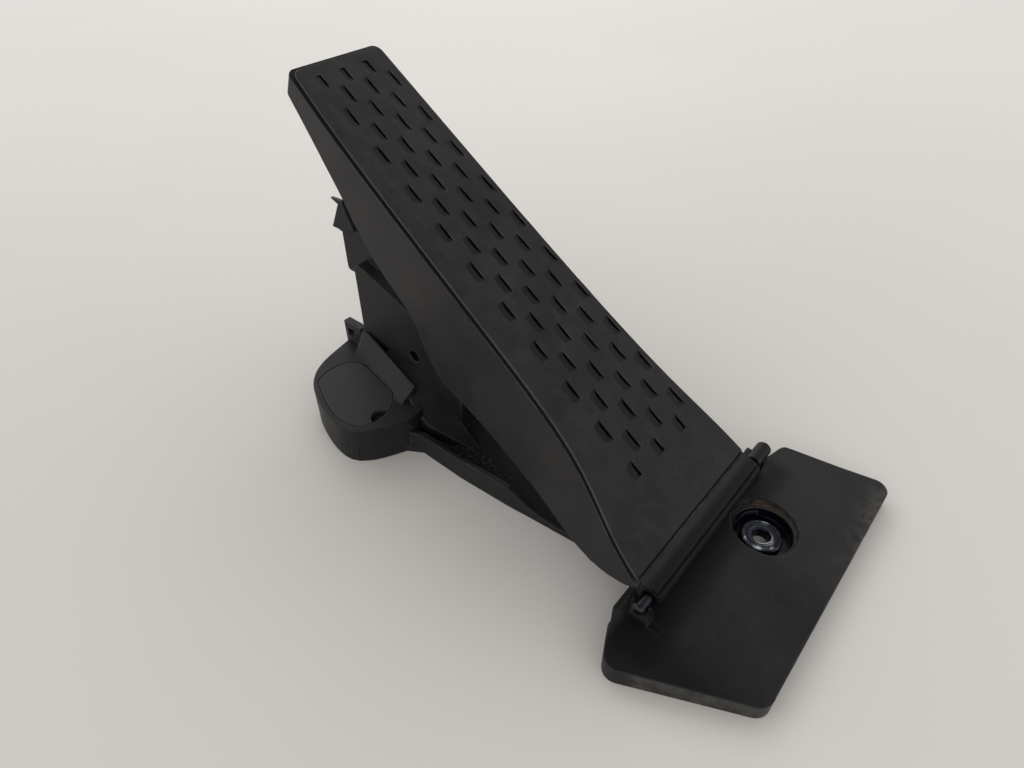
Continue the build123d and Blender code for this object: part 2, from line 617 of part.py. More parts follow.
    # sensor chamber, open to the right, with four screw bosses
    with BuildSketch(Plane.YZ.offset(WEB_X1)):
        with BuildLine():
            Polyline(*chamber_outline, close=True)
        make_face()
    extrude(amount=CUT_DEEP, mode=Mode.SUBTRACT)
    with BuildSketch(Plane.YZ.offset(WEB_X1 - ROOT_SUNK)):
        with Locations(*screw_spots):
            Circle(SCREW_BOSS_R)
    extrude(amount=HOUSE_X1 - WEB_X1 + ROOT_SUNK)
    with BuildSketch(Plane.YZ.offset(screw_tip)):
        with Locations(*screw_spots):
            Circle(SCREW_R)
    extrude(amount=SCREW_LEN, mode=Mode.SUBTRACT)
    # shaft bearings in the left wall and the web
    with Locations((HOUSE_X0, LEVER_Y, LEVER_Z)):
        Cylinder(SHAFT_R + SHAFT_RUN, 2 * (WEB_X1 - HOUSE_X0) + CUT_OVER, rotation=(0, 90, 0), mode=Mode.SUBTRACT)
    # connector socket at the back of the tower, terminal slots to the sensor chamber
    with BuildSketch(Plane.XZ.offset(-TOWER_Y1)):
        with Locations(((TOWER_X0 + TOWER_X1) / 2, SOCKET_Z)):
            RectangleRounded(TOWER_X1 - TOWER_X0 - 2 * SOCKET_WALL, SOCKET_H, SOCKET_R)
    extrude(amount=SOCKET_DEPTH, mode=Mode.SUBTRACT)
    with Locations(*terminal_spots):
        Box(TERM_W, terminal_len, TERM_W, align=(Align.CENTER, Align.MIN, Align.CENTER), mode=Mode.SUBTRACT)
    # stop buffer seat
    with Locations((STOP_X, STOP_Y, stop_top - STOP_H - STOP_SUNK)):
        Cylinder(STOP_R, STOP_SEAT_H, align=(Align.CENTER, Align.CENTER, Align.MIN), mode=Mode.SUBTRACT)
    # hinge trough, pin grooves and treadle clearance behind the pin
    with Locations(((NOSE_X0 + NOSE_X1) / 2, PIN_Y, PIN_Z)):
        Cylinder(NOSE_R + NOSE_GAP, NOSE_X1 - NOSE_X0 + NOSE_PLAY, rotation=(0, 90, 0), mode=Mode.SUBTRACT)
        Box(NOSE_X1 - NOSE_X0 + NOSE_PLAY, 2 * (NOSE_R + NOSE_GAP), HINGE_CLEAR_H,
            align=(Align.CENTER, Align.CENTER, Align.MIN), mode=Mode.SUBTRACT)
        Box(NOSE_X1 - NOSE_X0 + NOSE_PLAY, HINGE_CLEAR_L, HINGE_CLEAR_H, align=(Align.CENTER, Align.MIN, Align.MIN),
            mode=Mode.SUBTRACT)
    with Locations(((PIN_X0 + PIN_X1) / 2, PIN_Y, PIN_Z)):
        Cylinder(PIN_R, PIN_X1 - PIN_X0, rotation=(0, 90, 0), mode=Mode.SUBTRACT)
    with Locations(((PIN_X0 + PIN_X1) / 2, PIN_Y, PIN_Z + PIN_SLOT_UP)):
        Box(PIN_X1 - PIN_X0, 2 * PIN_R - PIN_SLOT_SHY, PIN_SLOT_H, align=(Align.CENTER, Align.CENTER, Align.MIN),
            mode=Mode.SUBTRACT)
    with Locations((PIN_X1 + PIN_CAP_T, PIN_Y, PIN_Z)):
        Cylinder(PIN_CAP_R, PIN_CAP_L, rotation=(0, -90, 0), align=(Align.CENTER, Align.CENTER, Align.MIN), mode=Mode.SUBTRACT)
    with Locations((PIN_X1 + PIN_CAP_T - PIN_CAP_L / 2, PIN_Y, PIN_Z)):
        Box(PIN_CAP_L, 2 * PIN_CAP_R, PIN_CAP_R + CUT_OVER, align=(Align.CENTER, Align.CENTER, Align.MIN), mode=Mode.SUBTRACT)
    # foot well and its bush hole
    with Locations((FOOT_X, FOOT_Y, FOOT_RING_Z)):
        Cylinder(FOOT_WELL_R, CUT_DEEP, align=(Align.CENTER, Align.CENTER, Align.MIN), mode=Mode.SUBTRACT)
    with Locations((FOOT_X, FOOT_Y, FOOT_SEAT_Z)):
        Cylinder(FOOT_RING_R, CUT_DEEP, align=(Align.CENTER, Align.CENTER, Align.MIN), mode=Mode.SUBTRACT)
    # ear and back boss wells, cap recess and bush holes
    with Locations((EAR_X, EAR_Y, BOSS_SEAT_Z), (BACK_X, BACK_Y, BOSS_SEAT_Z)):
        Cylinder(WELL_R, CUT_DEEP, align=(Align.CENTER, Align.CENTER, Align.MIN), mode=Mode.SUBTRACT)
    with BuildSketch(Plane.XY.offset(EAR_Z - CAP_T)):
        with BuildLine():
            Spline(*CAP_OUT, periodic=True)
        make_face()
    extrude(amount=CAP_T + CUT_OVER, mode=Mode.SUBTRACT)
    with Locations((FOOT_X, FOOT_Y, 0), (EAR_X, EAR_Y, 0), (BACK_X, BACK_Y, 0)):
        Cylinder(BUSH_R, CUT_DEEP, mode=Mode.SUBTRACT)
base.part.label = "base"
export_step(base.part, "parts/base.step")

# Ear cap with its pry notch
with BuildPart() as ear_cap:
    with BuildSketch(Plane.XY.offset(EAR_Z - CAP_T)):
        with BuildLine():
            Spline(*shrunk(CAP_OUT, CAP_GAP), periodic=True)
        make_face()
        with Locations(NOTCH):
            Circle(NOTCH_R, mode=Mode.SUBTRACT)
    extrude(amount=CAP_T)
    with BuildSketch(Plane.XY.offset(EAR_Z - CAP_T)):
        with Locations((EAR_X, EAR_Y)):
            Circle(WELL_R)
            Circle(WELL_R - CAP_SKIRT_T, mode=Mode.SUBTRACT)
    extrude(amount=-CAP_SKIRT_H)
ear_cap.part.label = "ear_cap"
export_step(ear_cap.part, "parts/ear_cap.step")

# Compression bushes for the three mounting screws
bush_spots = [("foot_bush", FOOT_X, FOOT_Y, FOOT_SEAT_Z), ("ear_bush", EAR_X, EAR_Y, BOSS_SEAT_Z),
              ("back_bush", BACK_X, BACK_Y, BOSS_SEAT_Z)]
for bush_name, bx, by, seat in bush_spots:
    with BuildPart() as bush:
        with Locations((bx, by, 0)):
            Cylinder(BUSH_R, seat, align=(Align.CENTER, Align.CENTER, Align.MIN))
        with Locations((bx, by, seat)):
            Cylinder(BUSH_FLANGE_R, BUSH_FLANGE_T, align=(Align.CENTER, Align.CENTER, Align.MIN))
        with Locations((bx, by, 0)):
            Cylinder(BUSH_BORE_R, CUT_DEEP, mode=Mode.SUBTRACT)
        rim = bush.edges().filter_by(GeomType.CIRCLE).group_by(Axis.Z)[-1].sort_by(SortBy.RADIUS)
        chamfer(rim[-1], length=BUSH_RIM)
        chamfer(rim[0], length=BUSH_LEAD)
    bush.part.label = bush_name
    export_step(bush.part, "parts/" + bush_name + ".step")

# Drive lever: hub, cam arm under the roller, spring pad
spring_y = LEVER_Y - SPRING_REACH
cam = []
path = []
for i in range(CAM_POINTS):
    press = (TRAVEL + CAM_OVER) * i / (CAM_POINTS - 1)
    ry, rz = turned(ROLL_Y, ROLL_Z, PIN_Y, PIN_Z, -press)
    path.append(turned(ry, rz, LEVER_Y, LEVER_Z, -LEVER_RATIO * press))
for i in range(CAM_POINTS):
    ya, za = path[max(i - 1, 0)]
    yb, zb = path[min(i + 1, CAM_POINTS - 1)]
    step = math.hypot(yb - ya, zb - za)
    cam.append((path[i][0] + (zb - za) / step * (ROLL_R + CAM_GAP), path[i][1] - (yb - ya) / step * (ROLL_R + CAM_GAP)))
tip_dir = ((cam[0][0] - cam[1][0]), (cam[0][1] - cam[1][1]))
tip_len = math.hypot(*tip_dir)
tip = (cam[0][0] + tip_dir[0] / tip_len * CAM_TIP, cam[0][1] + tip_dir[1] / tip_len * CAM_TIP)
hub_top = (LEVER_Y - ARM_HUB_Y, LEVER_Z + HUB_R - ARM_HUB_Z)
with BuildPart() as drive_lever:
    with BuildSketch(Plane.YZ.offset(LEVER_X - ARM_W / 2)):
        with BuildLine():
            Spline(*cam)
            Polyline(cam[-1], hub_top, (LEVER_Y, LEVER_Z), (LEVER_Y - ARM_NECK, LEVER_Z),
                     (spring_y + PAD_ARM, PAD_Z + PAD_ARM_UP), (spring_y - PAD_ARM, PAD_Z + PAD_ARM_UP),
                     (tip[0], tip[1] - ARM_T), tip, cam[0])
        make_face()
    extrude(amount=ARM_W)
    with Locations((LEVER_X, LEVER_Y, LEVER_Z)):
        Cylinder(HUB_R, HUB_W, rotation=(0, 90, 0))
    with Locations((LEVER_X, spring_y, PAD_Z)):
        Cylinder(PAD_R, PAD_T, align=(Align.CENTER, Align.CENTER, Align.MIN))
    with Locations((LEVER_X, LEVER_Y, LEVER_Z)):
        Cylinder(SHAFT_R, HUB_W + 2 * CUT_OVER, rotation=(0, 90, 0), mode=Mode.SUBTRACT)
drive_lever.part.label = "drive_lever"
export_step(drive_lever.part, "parts/drive_lever.step")

# Lever shaft, turning with the lever
shaft_end = WEB_X1 + SHAFT_OUT
with BuildPart() as lever_shaft:
    with Locations((HOUSE_X0 + SHAFT_SHY, LEVER_Y, LEVER_Z)):
        Cylinder(SHAFT_R, shaft_end - HOUSE_X0 - SHAFT_SHY, rotation=(0, 90, 0), align=(Align.CENTER, Align.CENTER, Align.MIN))
lever_shaft.part.label = "lever_shaft"
export_step(lever_shaft.part, "parts/lever_shaft.step")

# Magnet carrier on the shaft end, and its magnet
carrier_x0 = WEB_X1 + CARRIER_GAP
with BuildPart() as magnet_carrier:
    with Locations((carrier_x0, LEVER_Y, LEVER_Z)):
        Cylinder(CARRIER_R, CARRIER_T, rotation=(0, 90, 0), align=(Align.CENTER, Align.CENTER, Align.MIN))
        Cylinder(SHAFT_R, shaft_end - carrier_x0, rotation=(0, 90, 0), align=(Align.CENTER, Align.CENTER, Align.MIN),
                 mode=Mode.SUBTRACT)
    with Locations((carrier_x0 + CARRIER_T - MAGNET_T, LEVER_Y, LEVER_Z)):
        Cylinder(MAGNET_R, MAGNET_T, rotation=(0, 90, 0), align=(Align.CENTER, Align.CENTER, Align.MIN), mode=Mode.SUBTRACT)
magnet_carrier.part.label = "magnet_carrier"
export_step(magnet_carrier.part, "parts/magnet_carrier.step")
with BuildPart() as magnet:
    with Locations((carrier_x0 + CARRIER_T - MAGNET_T, LEVER_Y, LEVER_Z)):
        Cylinder(MAGNET_R, MAGNET_T, rotation=(0, 90, 0), align=(Align.CENTER, Align.CENTER, Align.MIN))
magnet.part.label = "magnet"
export_step(magnet.part, "parts/magnet.step")

# Spring seat under the lever pad, two nested springs
with BuildPart() as spring_seat:
    with Locations((LEVER_X, spring_y, SPRING_TOP)):
        Cylinder(SEAT_R, PAD_Z - SPRING_TOP, align=(Align.CENTER, Align.CENTER, Align.MIN))
        Cylinder(INNER_R - INNER_WIRE / 2 - SPIGOT_GAP, SEAT_SPIGOT_H, align=(Align.CENTER, Align.CENTER, Align.MAX))
spring_seat.part.label = "spring_seat"
export_step(spring_seat.part, "parts/spring_seat.step")
for spring_name, mean_r, wire, turns in (("spring_outer", OUTER_R, OUTER_WIRE, OUTER_TURNS),
                                         ("spring_inner", INNER_R, INNER_WIRE, INNER_TURNS)):
    height = SPRING_TOP - COVER_T - wire
    with BuildPart() as spring:
        with BuildLine():
            coil = Helix(pitch=height / turns, height=height, radius=mean_r,
                         center=(LEVER_X, spring_y, COVER_T + wire / 2))
        with BuildSketch(Plane(origin=coil @ 0, z_dir=coil % 0)):
            RegularPolygon(wire / 2, WIRE_SIDES)
        sweep(path=coil, is_frenet=True)
    spring.part.label = spring_name
    export_step(spring.part, "parts/" + spring_name + ".step")

# Roller under the treadle and its pin
with BuildPart() as roller_pin:
    with Locations((LEVER_X, ROLL_Y, ROLL_Z)):
        Cylinder(ROLL_PIN_R, ROLL_W + 2 * LUG_T + 2 * LUG_GAP, rotation=(0, 90, 0))
roller_pin.part.label = "roller_pin"
export_step(roller_pin.part, "parts/roller_pin.step")
with BuildPart() as roller:
    with Locations((LEVER_X, ROLL_Y, ROLL_Z)):
        Cylinder(ROLL_R, ROLL_W, rotation=(0, 90, 0))
        Cylinder(ROLL_PIN_R + ROLL_RUN, ROLL_W + 2 * CUT_OVER, rotation=(0, 90, 0), mode=Mode.SUBTRACT)
roller.part.label = "roller"
export_step(roller.part, "parts/roller.step")

# Bottom cover of the lever chamber with the spring spigot
with BuildPart() as bottom_cover:
    with Locations(((HOUSE_X0 + HOUSE_WALL + WEB_X0) / 2, (HOUSE_Y0 + HOUSE_Y1) / 2, 0.0)):
        Box(cover_w, cover_l, COVER_T, align=(Align.CENTER, Align.CENTER, Align.MIN))
    with Locations((LEVER_X, spring_y, COVER_T)):
        Cylinder(INNER_R - INNER_WIRE / 2 - SPIGOT_GAP, SPIGOT_H, align=(Align.CENTER, Align.CENTER, Align.MIN))
bottom_cover.part.label = "bottom_cover"
export_step(bottom_cover.part, "parts/bottom_cover.step")

# Sensor lid on the right of the housing, its seal and four screws
lid_outline = [(HOUSE_Y0, LID_Z0), (HOUSE_Y1, LID_Z0), *roof_bevel, (HOUSE_Y0, roof(HOUSE_Y0))]
with BuildPart() as lid_seal:
    with BuildSketch(Plane.YZ.offset(HOUSE_X1)):
        with BuildLine():
            Polyline(*lid_outline, close=True)
        make_face()
        with BuildLine():
            Polyline(*chamber_outline, close=True)
        make_face(mode=Mode.SUBTRACT)
    extrude(amount=SEAL_T)
lid_seal.part.label = "lid_seal"
export_step(lid_seal.part, "parts/lid_seal.step")
with BuildPart() as sensor_lid:
    with BuildSketch(Plane.YZ.offset(HOUSE_X1 + SEAL_T)):
        with BuildLine():
            Polyline(*lid_outline, close=True)
        make_face()
        with Locations(*screw_spots):
            Circle(SCREW_R + SCREW_PLAY, mode=Mode.SUBTRACT)
    extrude(amount=LID_T)
sensor_lid.part.label = "sensor_lid"
export_step(sensor_lid.part, "parts/sensor_lid.step")
with BuildPart() as lid_screws:
    with BuildSketch(Plane.YZ.offset(screw_tip)):
        with Locations(*screw_spots):
            Circle(SCREW_R)
    extrude(amount=SCREW_LEN)
    with BuildSketch(Plane.YZ.offset(screw_tip + SCREW_LEN)):
        with Locations(*screw_spots):
            Circle(SCREW_HEAD_R)
            RegularPolygon(SCREW_KEY_R, 6, mode=Mode.SUBTRACT)
    extrude(amount=SCREW_HEAD_T)
lid_screws.part.label = "lid_screws"
export_step(lid_screws.part, "parts/lid_screws.step")

# Sensor board, two field sensors and the connector terminals
with BuildPart() as sensor_board:
    with Locations((BOARD_X, (HOUSE_Y0 + HOUSE_Y1) / 2, SENSOR_Z0)):
        Box(BOARD_T, HOUSE_Y1 - HOUSE_Y0 - 2 * BOARD_SHY, BOARD_H, align=(Align.MIN, Align.CENTER, Align.MIN))
sensor_board.part.label = "sensor_board"
export_step(sensor_board.part, "parts/sensor_board.step")
with BuildPart() as terminals:
    with Locations(*terminal_spots):
        Box(TERM_W, terminal_len, TERM_W, align=(Align.CENTER, Align.MIN, Align.CENTER))
terminals.part.label = "terminals"
export_step(terminals.part, "parts/terminals.step")
with BuildPart() as hall_sensors:
    with Locations((BOARD_X, LEVER_Y - CHIP_OFF, LEVER_Z), (BOARD_X, LEVER_Y + CHIP_OFF, LEVER_Z)):
        Box(CHIP_T, CHIP_W, CHIP_H, align=(Align.MAX, Align.CENTER, Align.CENTER))
hall_sensors.part.label = "hall_sensors"
export_step(hall_sensors.part, "parts/hall_sensors.step")

# Rubber stop buffer
with BuildPart() as stop_buffer:
    with Locations((STOP_X, STOP_Y, stop_top - STOP_H - STOP_SUNK)):
        Cylinder(STOP_R, STOP_H + STOP_SUNK, align=(Align.CENTER, Align.CENTER, Align.MIN))
    chamfer(stop_buffer.edges().filter_by(GeomType.CIRCLE).sort_by(Axis.Z)[-1], length=STOP_CHAMFER)
stop_buffer.part.label = "stop_buffer"
export_step(stop_buffer.part, "parts/stop_buffer.step")
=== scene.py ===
"""Looks of a floor-hinged accelerator pedal: woven tread, moulded plastics, worn edges, soil, painted shade and
highlights, steel and springs.

Lengths are in metres unless a comment says millimetres. MM turns millimetres into metres, and mm() several at once.
"""
import json
import math
from contextlib import contextmanager

import bmesh
import bpy
import numpy as np
from mathutils import Matrix, Vector
from mathutils.bvhtree import BVHTree


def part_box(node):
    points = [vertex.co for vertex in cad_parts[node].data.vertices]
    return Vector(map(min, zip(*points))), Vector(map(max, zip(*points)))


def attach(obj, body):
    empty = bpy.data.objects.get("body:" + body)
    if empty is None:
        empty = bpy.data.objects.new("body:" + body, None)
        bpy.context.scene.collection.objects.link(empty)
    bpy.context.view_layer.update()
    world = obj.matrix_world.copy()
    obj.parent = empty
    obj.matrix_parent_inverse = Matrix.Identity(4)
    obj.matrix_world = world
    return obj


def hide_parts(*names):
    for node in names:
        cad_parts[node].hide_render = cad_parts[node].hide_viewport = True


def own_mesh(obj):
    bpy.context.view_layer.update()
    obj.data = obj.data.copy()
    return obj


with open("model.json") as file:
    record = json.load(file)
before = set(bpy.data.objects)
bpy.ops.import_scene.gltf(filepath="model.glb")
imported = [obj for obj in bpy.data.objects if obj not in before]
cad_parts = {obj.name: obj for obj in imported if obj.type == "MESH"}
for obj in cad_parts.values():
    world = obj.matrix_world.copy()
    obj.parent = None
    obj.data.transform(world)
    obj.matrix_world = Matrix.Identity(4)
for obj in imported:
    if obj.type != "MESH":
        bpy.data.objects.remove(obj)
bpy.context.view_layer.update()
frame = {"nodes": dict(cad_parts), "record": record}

MM = 0.001


def mm(*values):
    """Sizes in millimetres as metres."""
    return tuple(value * MM for value in values)


# Camera fitted to the photo
CAMERA_AT = Vector((-195.445, -57.100, 247.427)) * MM
CAMERA_AZIMUTH = -50.274
CAMERA_ELEVATION = 40.811
CAMERA_LENS = 24.955
CAMERA_NEAR = 5.0 * MM
SENSOR_WIDTH = 36.0

# Plane of the tread: its pitch, the height where its face starts, and its own directions
TREAD_PITCH = math.radians(33.7)
FACE_Z = 28.0 * MM
ALONG = Vector((0.0, math.cos(TREAD_PITCH), math.sin(TREAD_PITCH)))
NORMAL = Vector((0.0, -math.sin(TREAD_PITCH), math.cos(TREAD_PITCH)))

# Slits of the tread: each has a ramp down to a wall, and a crack at the wall's foot
SLIT_COLUMNS = 6
SLIT_ROWS = 10
SLIT_PITCH = 19.9 * MM
SLIT_TOP = 227.6 * MM
SLIT_LOW = SLIT_TOP - SLIT_ROWS * SLIT_PITCH
SLIT_ENDS = (1.22, 0.55)
RAMP_POWER = 1.25
WALL_SHIFT = 0.307
CRACK_ENDS = (1.08, 0.35)
CRACK_EDGE = (0.03, 0.012)
CRACK_LEAST = 0.02

# Woven field round the slits: its outer columns as (low end, top end), and how its sunk ground fades out
FAN_LEFT = mm(-24.4, -18.7)
FAN_RIGHT = mm(17.9, 12.0)
FIELD_END = 2.2 * MM
FIELD_EDGE = (-1.02, -0.96)
FIELD_TOP_FADE = mm(6.0, 12.0)
FIELD_LOW_FADE = mm(6.0, 16.0)
FIELD_MARGIN = 4.0 * MM
FIELD_RUN = mm(15.0, 233.0)
SOLID_SLIT_DEPTH = 1.4 * MM
WEAVE_SIZES = (("Columns", SLIT_COLUMNS), ("Rows", SLIT_ROWS), ("Slit Pitch", SLIT_PITCH), ("Slit Top", SLIT_TOP),
               ("Slit Length", 8.6 * MM), ("Slit Depth", 0.62 * MM), ("Ramp Share", 0.66), ("Field End", FIELD_END),
               ("Field Sink", 0.05 * MM), ("Crack From", 0.905), ("Crack Depth", 2.1 * MM))

# Grid of the tread's skin, and the hem where it meets the nose
COLUMN_STEPS = (-0.66, -0.56, -0.44, -0.32, -0.22, -0.15, -0.125, -0.1, -0.08, -0.06, -0.04, -0.02, -0.006,
                0.006, 0.1, 0.22)
MARGIN_STEPS = 4
ROW_STEP = 0.55 * MM
ROW_PAIR = 0.02 * MM
SKIN_LAP = 0.12 * MM
HEM_WIDTH = 0.9 * MM
HEM_DEPTH = 0.5 * MM

# Foot plate: its sloping top, the crease between that and its left facet, and its bush
PLATE_FRONT = mm(-54.0, 7.8)
PLATE_SLOPE = (12.5 - 7.8) / (54.0 - 9.0)
PLATE_BEND = 7.0 * MM
PLATE_BACK_Y = 6.0 * MM
PLATE_LEAST_Z = 6.0 * MM
PLATE_UPWARD = 0.9
PLATE_FLATNESS = 0.99995
FACET_CREASE = (Vector((-56.4, -54.0, 7.8)) * MM, Vector((-48.8, -10.5, 12.3)) * MM)
FACET_LEFT = Vector((-78.6, -2.0, 9.2)) * MM
FOOT_BUSH = mm(12.6, -20.0)

# Small walls of the base in millimetres: the lip's front end as (y, left x, thickness, top),
# and the gusset beside the ear as (y, left x, left top, right top), tapering from one of its stations on
LIP_FRONT = ((75.0, -40.4, 2.5, 12.0), (71.0, -40.1, 2.1, 10.4), (67.0, -39.7, 1.5, 7.6), (63.0, -39.3, 1.3, 5.6),
             (58.0, -38.9, 1.2, 4.4), (50.0, -38.3, 1.2, 3.4))
GUSSET = ((168.0, -25.0, 29.0, 30.0), (152.0, -28.0, 26.4, 27.8), (140.0, -34.4, 22.0, 26.6),
          (134.0, -35.5, 17.5, 20.6), (128.0, -34.5, 12.2, 14.8), (122.0, -32.0, 9.2, 11.0),
          (114.0, -29.2, 6.0, 7.0), (105.0, -27.0, 3.2, 3.6))
GUSSET_RIGHT = -18.4
GUSSET_TIP = -24.0
GUSSET_TAPER = 4
WALL_FOOT_Z = 0.2

# Strips on the hinge nose in millimetres, their arcs in degrees from up towards the foot plate
NOSE_AXIS = (-3.0, 22.0)
NOSE_R = 4.6
NOSE_NEAR = 0.05
STRIP_LIFT = 0.5
STRIP_ARCS = ((-12.0, 36.0), (48.0, 104.0))
STRIP_STEPS = 9
STRIP_SHY = 0.6

# Soil crumbs: their bed in millimetres, and how they lie on it
CRUMB_BED = ((-34.5, 80.0), (-27.0, 80.0), (-25.0, 102.0), (-30.5, 118.0), (-32.5, 128.0), (-38.0, 128.0))
CRUMB_BED_Z = 3.7
CRUMB_SIZES = (("Density", 420000.0), ("Crumb Radius", 0.6 * MM), ("Thin Y", 70.0 * MM), ("Thick Y", 128.0 * MM))
CRUMB_THIN = 0.1
CRUMB_TURN = 6.28
CRUMB_LEAST = (0.25, 0.3, 0.2)
CRUMB_MOST = (1.0, 1.1, 0.8)
SPREAD_SEED, TURN_SEED, SIZE_SEED = 11, 5, 8

# Springs as (node, wire, turns, extra radius, extra shortening); the extra radius keeps the inner coil clear
SPRINGS = (("spring_outer", 1.5 * MM, 5.0, 0.0, 0.0), ("spring_inner", 0.9 * MM, 6.0, 0.95 * MM, 0.055))
COIL_STEPS = 40
WIRE_SIDES = 12

# Softened mouldings as (node, slot, look, rounding), and how edges are found and rounded
MOULDINGS = (("base", "base_plastic", "base_plastic", 0.45 * MM), ("ear_cap", "base_plastic", "cap", 0.3 * MM),
             ("pin_cap", "base_plastic", "base_plastic", 0.2 * MM), ("foot_bush", "zinc_steel", "bush", 0.3 * MM),
             ("hinge_pin", "bright_steel", "bright_steel", 0.1 * MM))
TREADLE_ROUND = 0.35 * MM
LIP_ROUND = 0.4 * MM
GUSSET_ROUND = 0.6 * MM
STRIP_ROUND = 0.15 * MM
SHARP_ANGLE = math.radians(35.0)
FLAT_ANGLE = math.radians(0.4)
TINY = 1e-6
ROUND_SEGMENTS = 2
ROUND_TRIES = 6
ROUND_STRAY = 0.9
NORMAL_WEIGHT = 60

# Marks of the plastics as (strength, linear colour)
DUST_PALE = (1.0, (0.115, 0.102, 0.088))
# Edge wear; on the tread and treadle it also paints the highlight line along the rim
EDGE_WEAR_AND_HIGHLIGHT = (1.0, (0.1, 0.097, 0.092))
SLIT_SHADE = (0.95, (0.0018, 0.0019, 0.0021))
SLIT_SOIL = (1.0, (0.05, 0.03, 0.018))
# Painted shade: black in the cracks at the foot of the slits' walls
CRACK_SHADE = (1.0, (0.001, 0.001, 0.001))
# Painted shade: black in the hem where the tread meets the nose
HEM_SHADE = (1.0, (0.0014, 0.0014, 0.0014))
# Painted shade on the narrow land at the foot of the tread face's step
LAND_SHADE = (0.95, (0.0012, 0.0012, 0.0013))
# Painted highlight on the step above that land
STEP_HIGHLIGHT = (0.8, (0.06, 0.058, 0.056))
ROAD_SMEAR = (0.45, (0.034, 0.029, 0.024))
NOSE_DARK = (0.95, (0.0022, 0.0022, 0.0024))
# Painted shade on the foot plate's left facet
FACET_SHADE = (0.8, (0.0042, 0.0042, 0.0045))
# Painted shade: a dark band on the plate along the hinge, and the saddles round the pin
HINGE_SHADE = (0.88, (0.003, 0.003, 0.0032))
CORNER_WORN = (1.0, (0.06, 0.055, 0.047))
# Lighter patches on the foot plate's left walls
WALL_PALE = (1.0, (0.046, 0.043, 0.039))
WELL_GRIME = (0.8, (0.066, 0.052, 0.041))
# Painted shade deep in the bush's well, tinted blue as a painted reflection
WELL_SHADE = (1.0, (0.003, 0.0038, 0.0062))
WARM_CLOUD = (0.5, (0.0235, 0.02, 0.019))
COOL_CLOUD = (0.5, (0.0085, 0.0098, 0.0096))

# Marks of the plastics: scales of their clouds, and where each fades in, as (none, full)
TREAD_CLOUDS = ((170.0, (0.46, 0.62), WARM_CLOUD), (95.0, (0.5, 0.66), COOL_CLOUD))
SOIL_SCALE = 140.0
SOIL_LEAST = 0.25
SMEAR_SCALE = 26.0
PLATE_SCALE = 150.0
SHADE_DEPTH = (0.0, 0.22)
SOIL_DEPTH = (0.45, 1.0)
SOIL_CLUMP = (0.5, 0.72)
LOW_ROWS_Y = mm(70.0, 25.0)
RIM_START = mm(1.0, 4.0)
LAND_TOP = mm(-0.6, -0.9)
LAND_LOW = mm(-1.7, -1.4)
LAND_FACING = (0.4, 0.75)
STEP_TOP = mm(-1.0, -0.6)
STEP_FACING = (0.85, 0.55)
SMEAR_BAND = (0.5, 0.75)
NOSE_Y = mm(0.0, -3.0)
FLAT_FACING = (0.7, 0.92)
WALL_FACING = (0.6, 0.2)
PLATE_END_Y = mm(4.0, 0.0)
FACET_DROP = mm(0.0, 1.9)
FACET_X = mm(-30.0, -44.0)
HINGE_Y = mm(-20.5, -12.0)
HINGE_LEFT_X = mm(-75.0, -68.0)
HINGE_RIGHT_X = mm(52.0, 44.0)
SADDLE_RISE = mm(-0.4, -1.2)
SADDLE_Y = mm(14.0, 10.0)
SADDLE_X = mm(30.0, 20.0)
CORNER_Y = mm(-43.0, -53.5)
CORNER_X = mm(-5.0, 55.0)
CORNER_CLOUD = (0.36, 0.62)
WALL_X = mm(-46.0, -54.0)
WALL_Y = mm(-9.0, -14.0)
WALL_CLOUD = (0.3, 0.6)
WELL_R = mm(14.2, 14.0)
WELL_DROP = mm(0.4, 1.0)
WELL_DEEP_Z = mm(7.9, 7.4)
GRIME_SIDE = (0.95, 0.1)
GRIME_FROM = mm(-1.0, 9.0)
GRIME_CLOUD = (0.36, 0.56)
WELL_GLOSS = 0.30

# Steel bush: turning rings whose dark and bright tones are painted highlights, and a dark rim with bright painted
# highlight streaks
RING_STRETCH = (1500.0, 90.0)
RING_BAND = (0.49, 0.64)
RING_DARK = (0.018, 0.02, 0.025)
# Painted highlight: the bright tone of the turning rings
RING_HIGHLIGHT = (0.3, 0.31, 0.33)
BUSH_RIM = mm(4.8, 5.8)
STREAK_SCALE = 260.0
STREAK_BAND = (0.66, 0.5)
# Dark rim, broken by the painted highlight streaks
RIM_DARK = (0.92, (0.01, 0.011, 0.014))

# Finish of the surfaces: shine, and roughness with what varies it
PLASTIC_SHINE = 0.13
PATCH_ROUGH = 0.12
DUST_ROUGH = 0.25
RING_ROUGH = (0.08, 0.16)
LINE_ROUGH = 0.22
MOTTLE_ROUGH = 0.2
TABLE_SHINE = 0.2
TABLE_HALF = 3.0
TABLE_CLOUD = 2.2
TABLE_TONES = ((0.64, 0.603, 0.556), (0.67, 0.634, 0.588))
TABLE_ROUGH = (0.38, 0.08)

# Light: one broad window behind on the right, and a room with bright walls and a dim ceiling
WINDOW_AT = (0.95, 0.95, 1.15)
WINDOW_AIM = (0.0, 0.08, 0.05)
WINDOW_SIZE = 1.9
WINDOW_POWER = 6.6
WINDOW_TINT = (1.0, 0.985, 0.96)
ROOM_TINT = (0.965, 0.975, 1.0)
WALL_HEIGHTS = (0.95, 0.4)
WALL_LIGHT = 1.46
SIDE_BAND = (-0.8, 0.9)
SIDE_FALL = 0.34
CEILING_LIGHT = 0.27


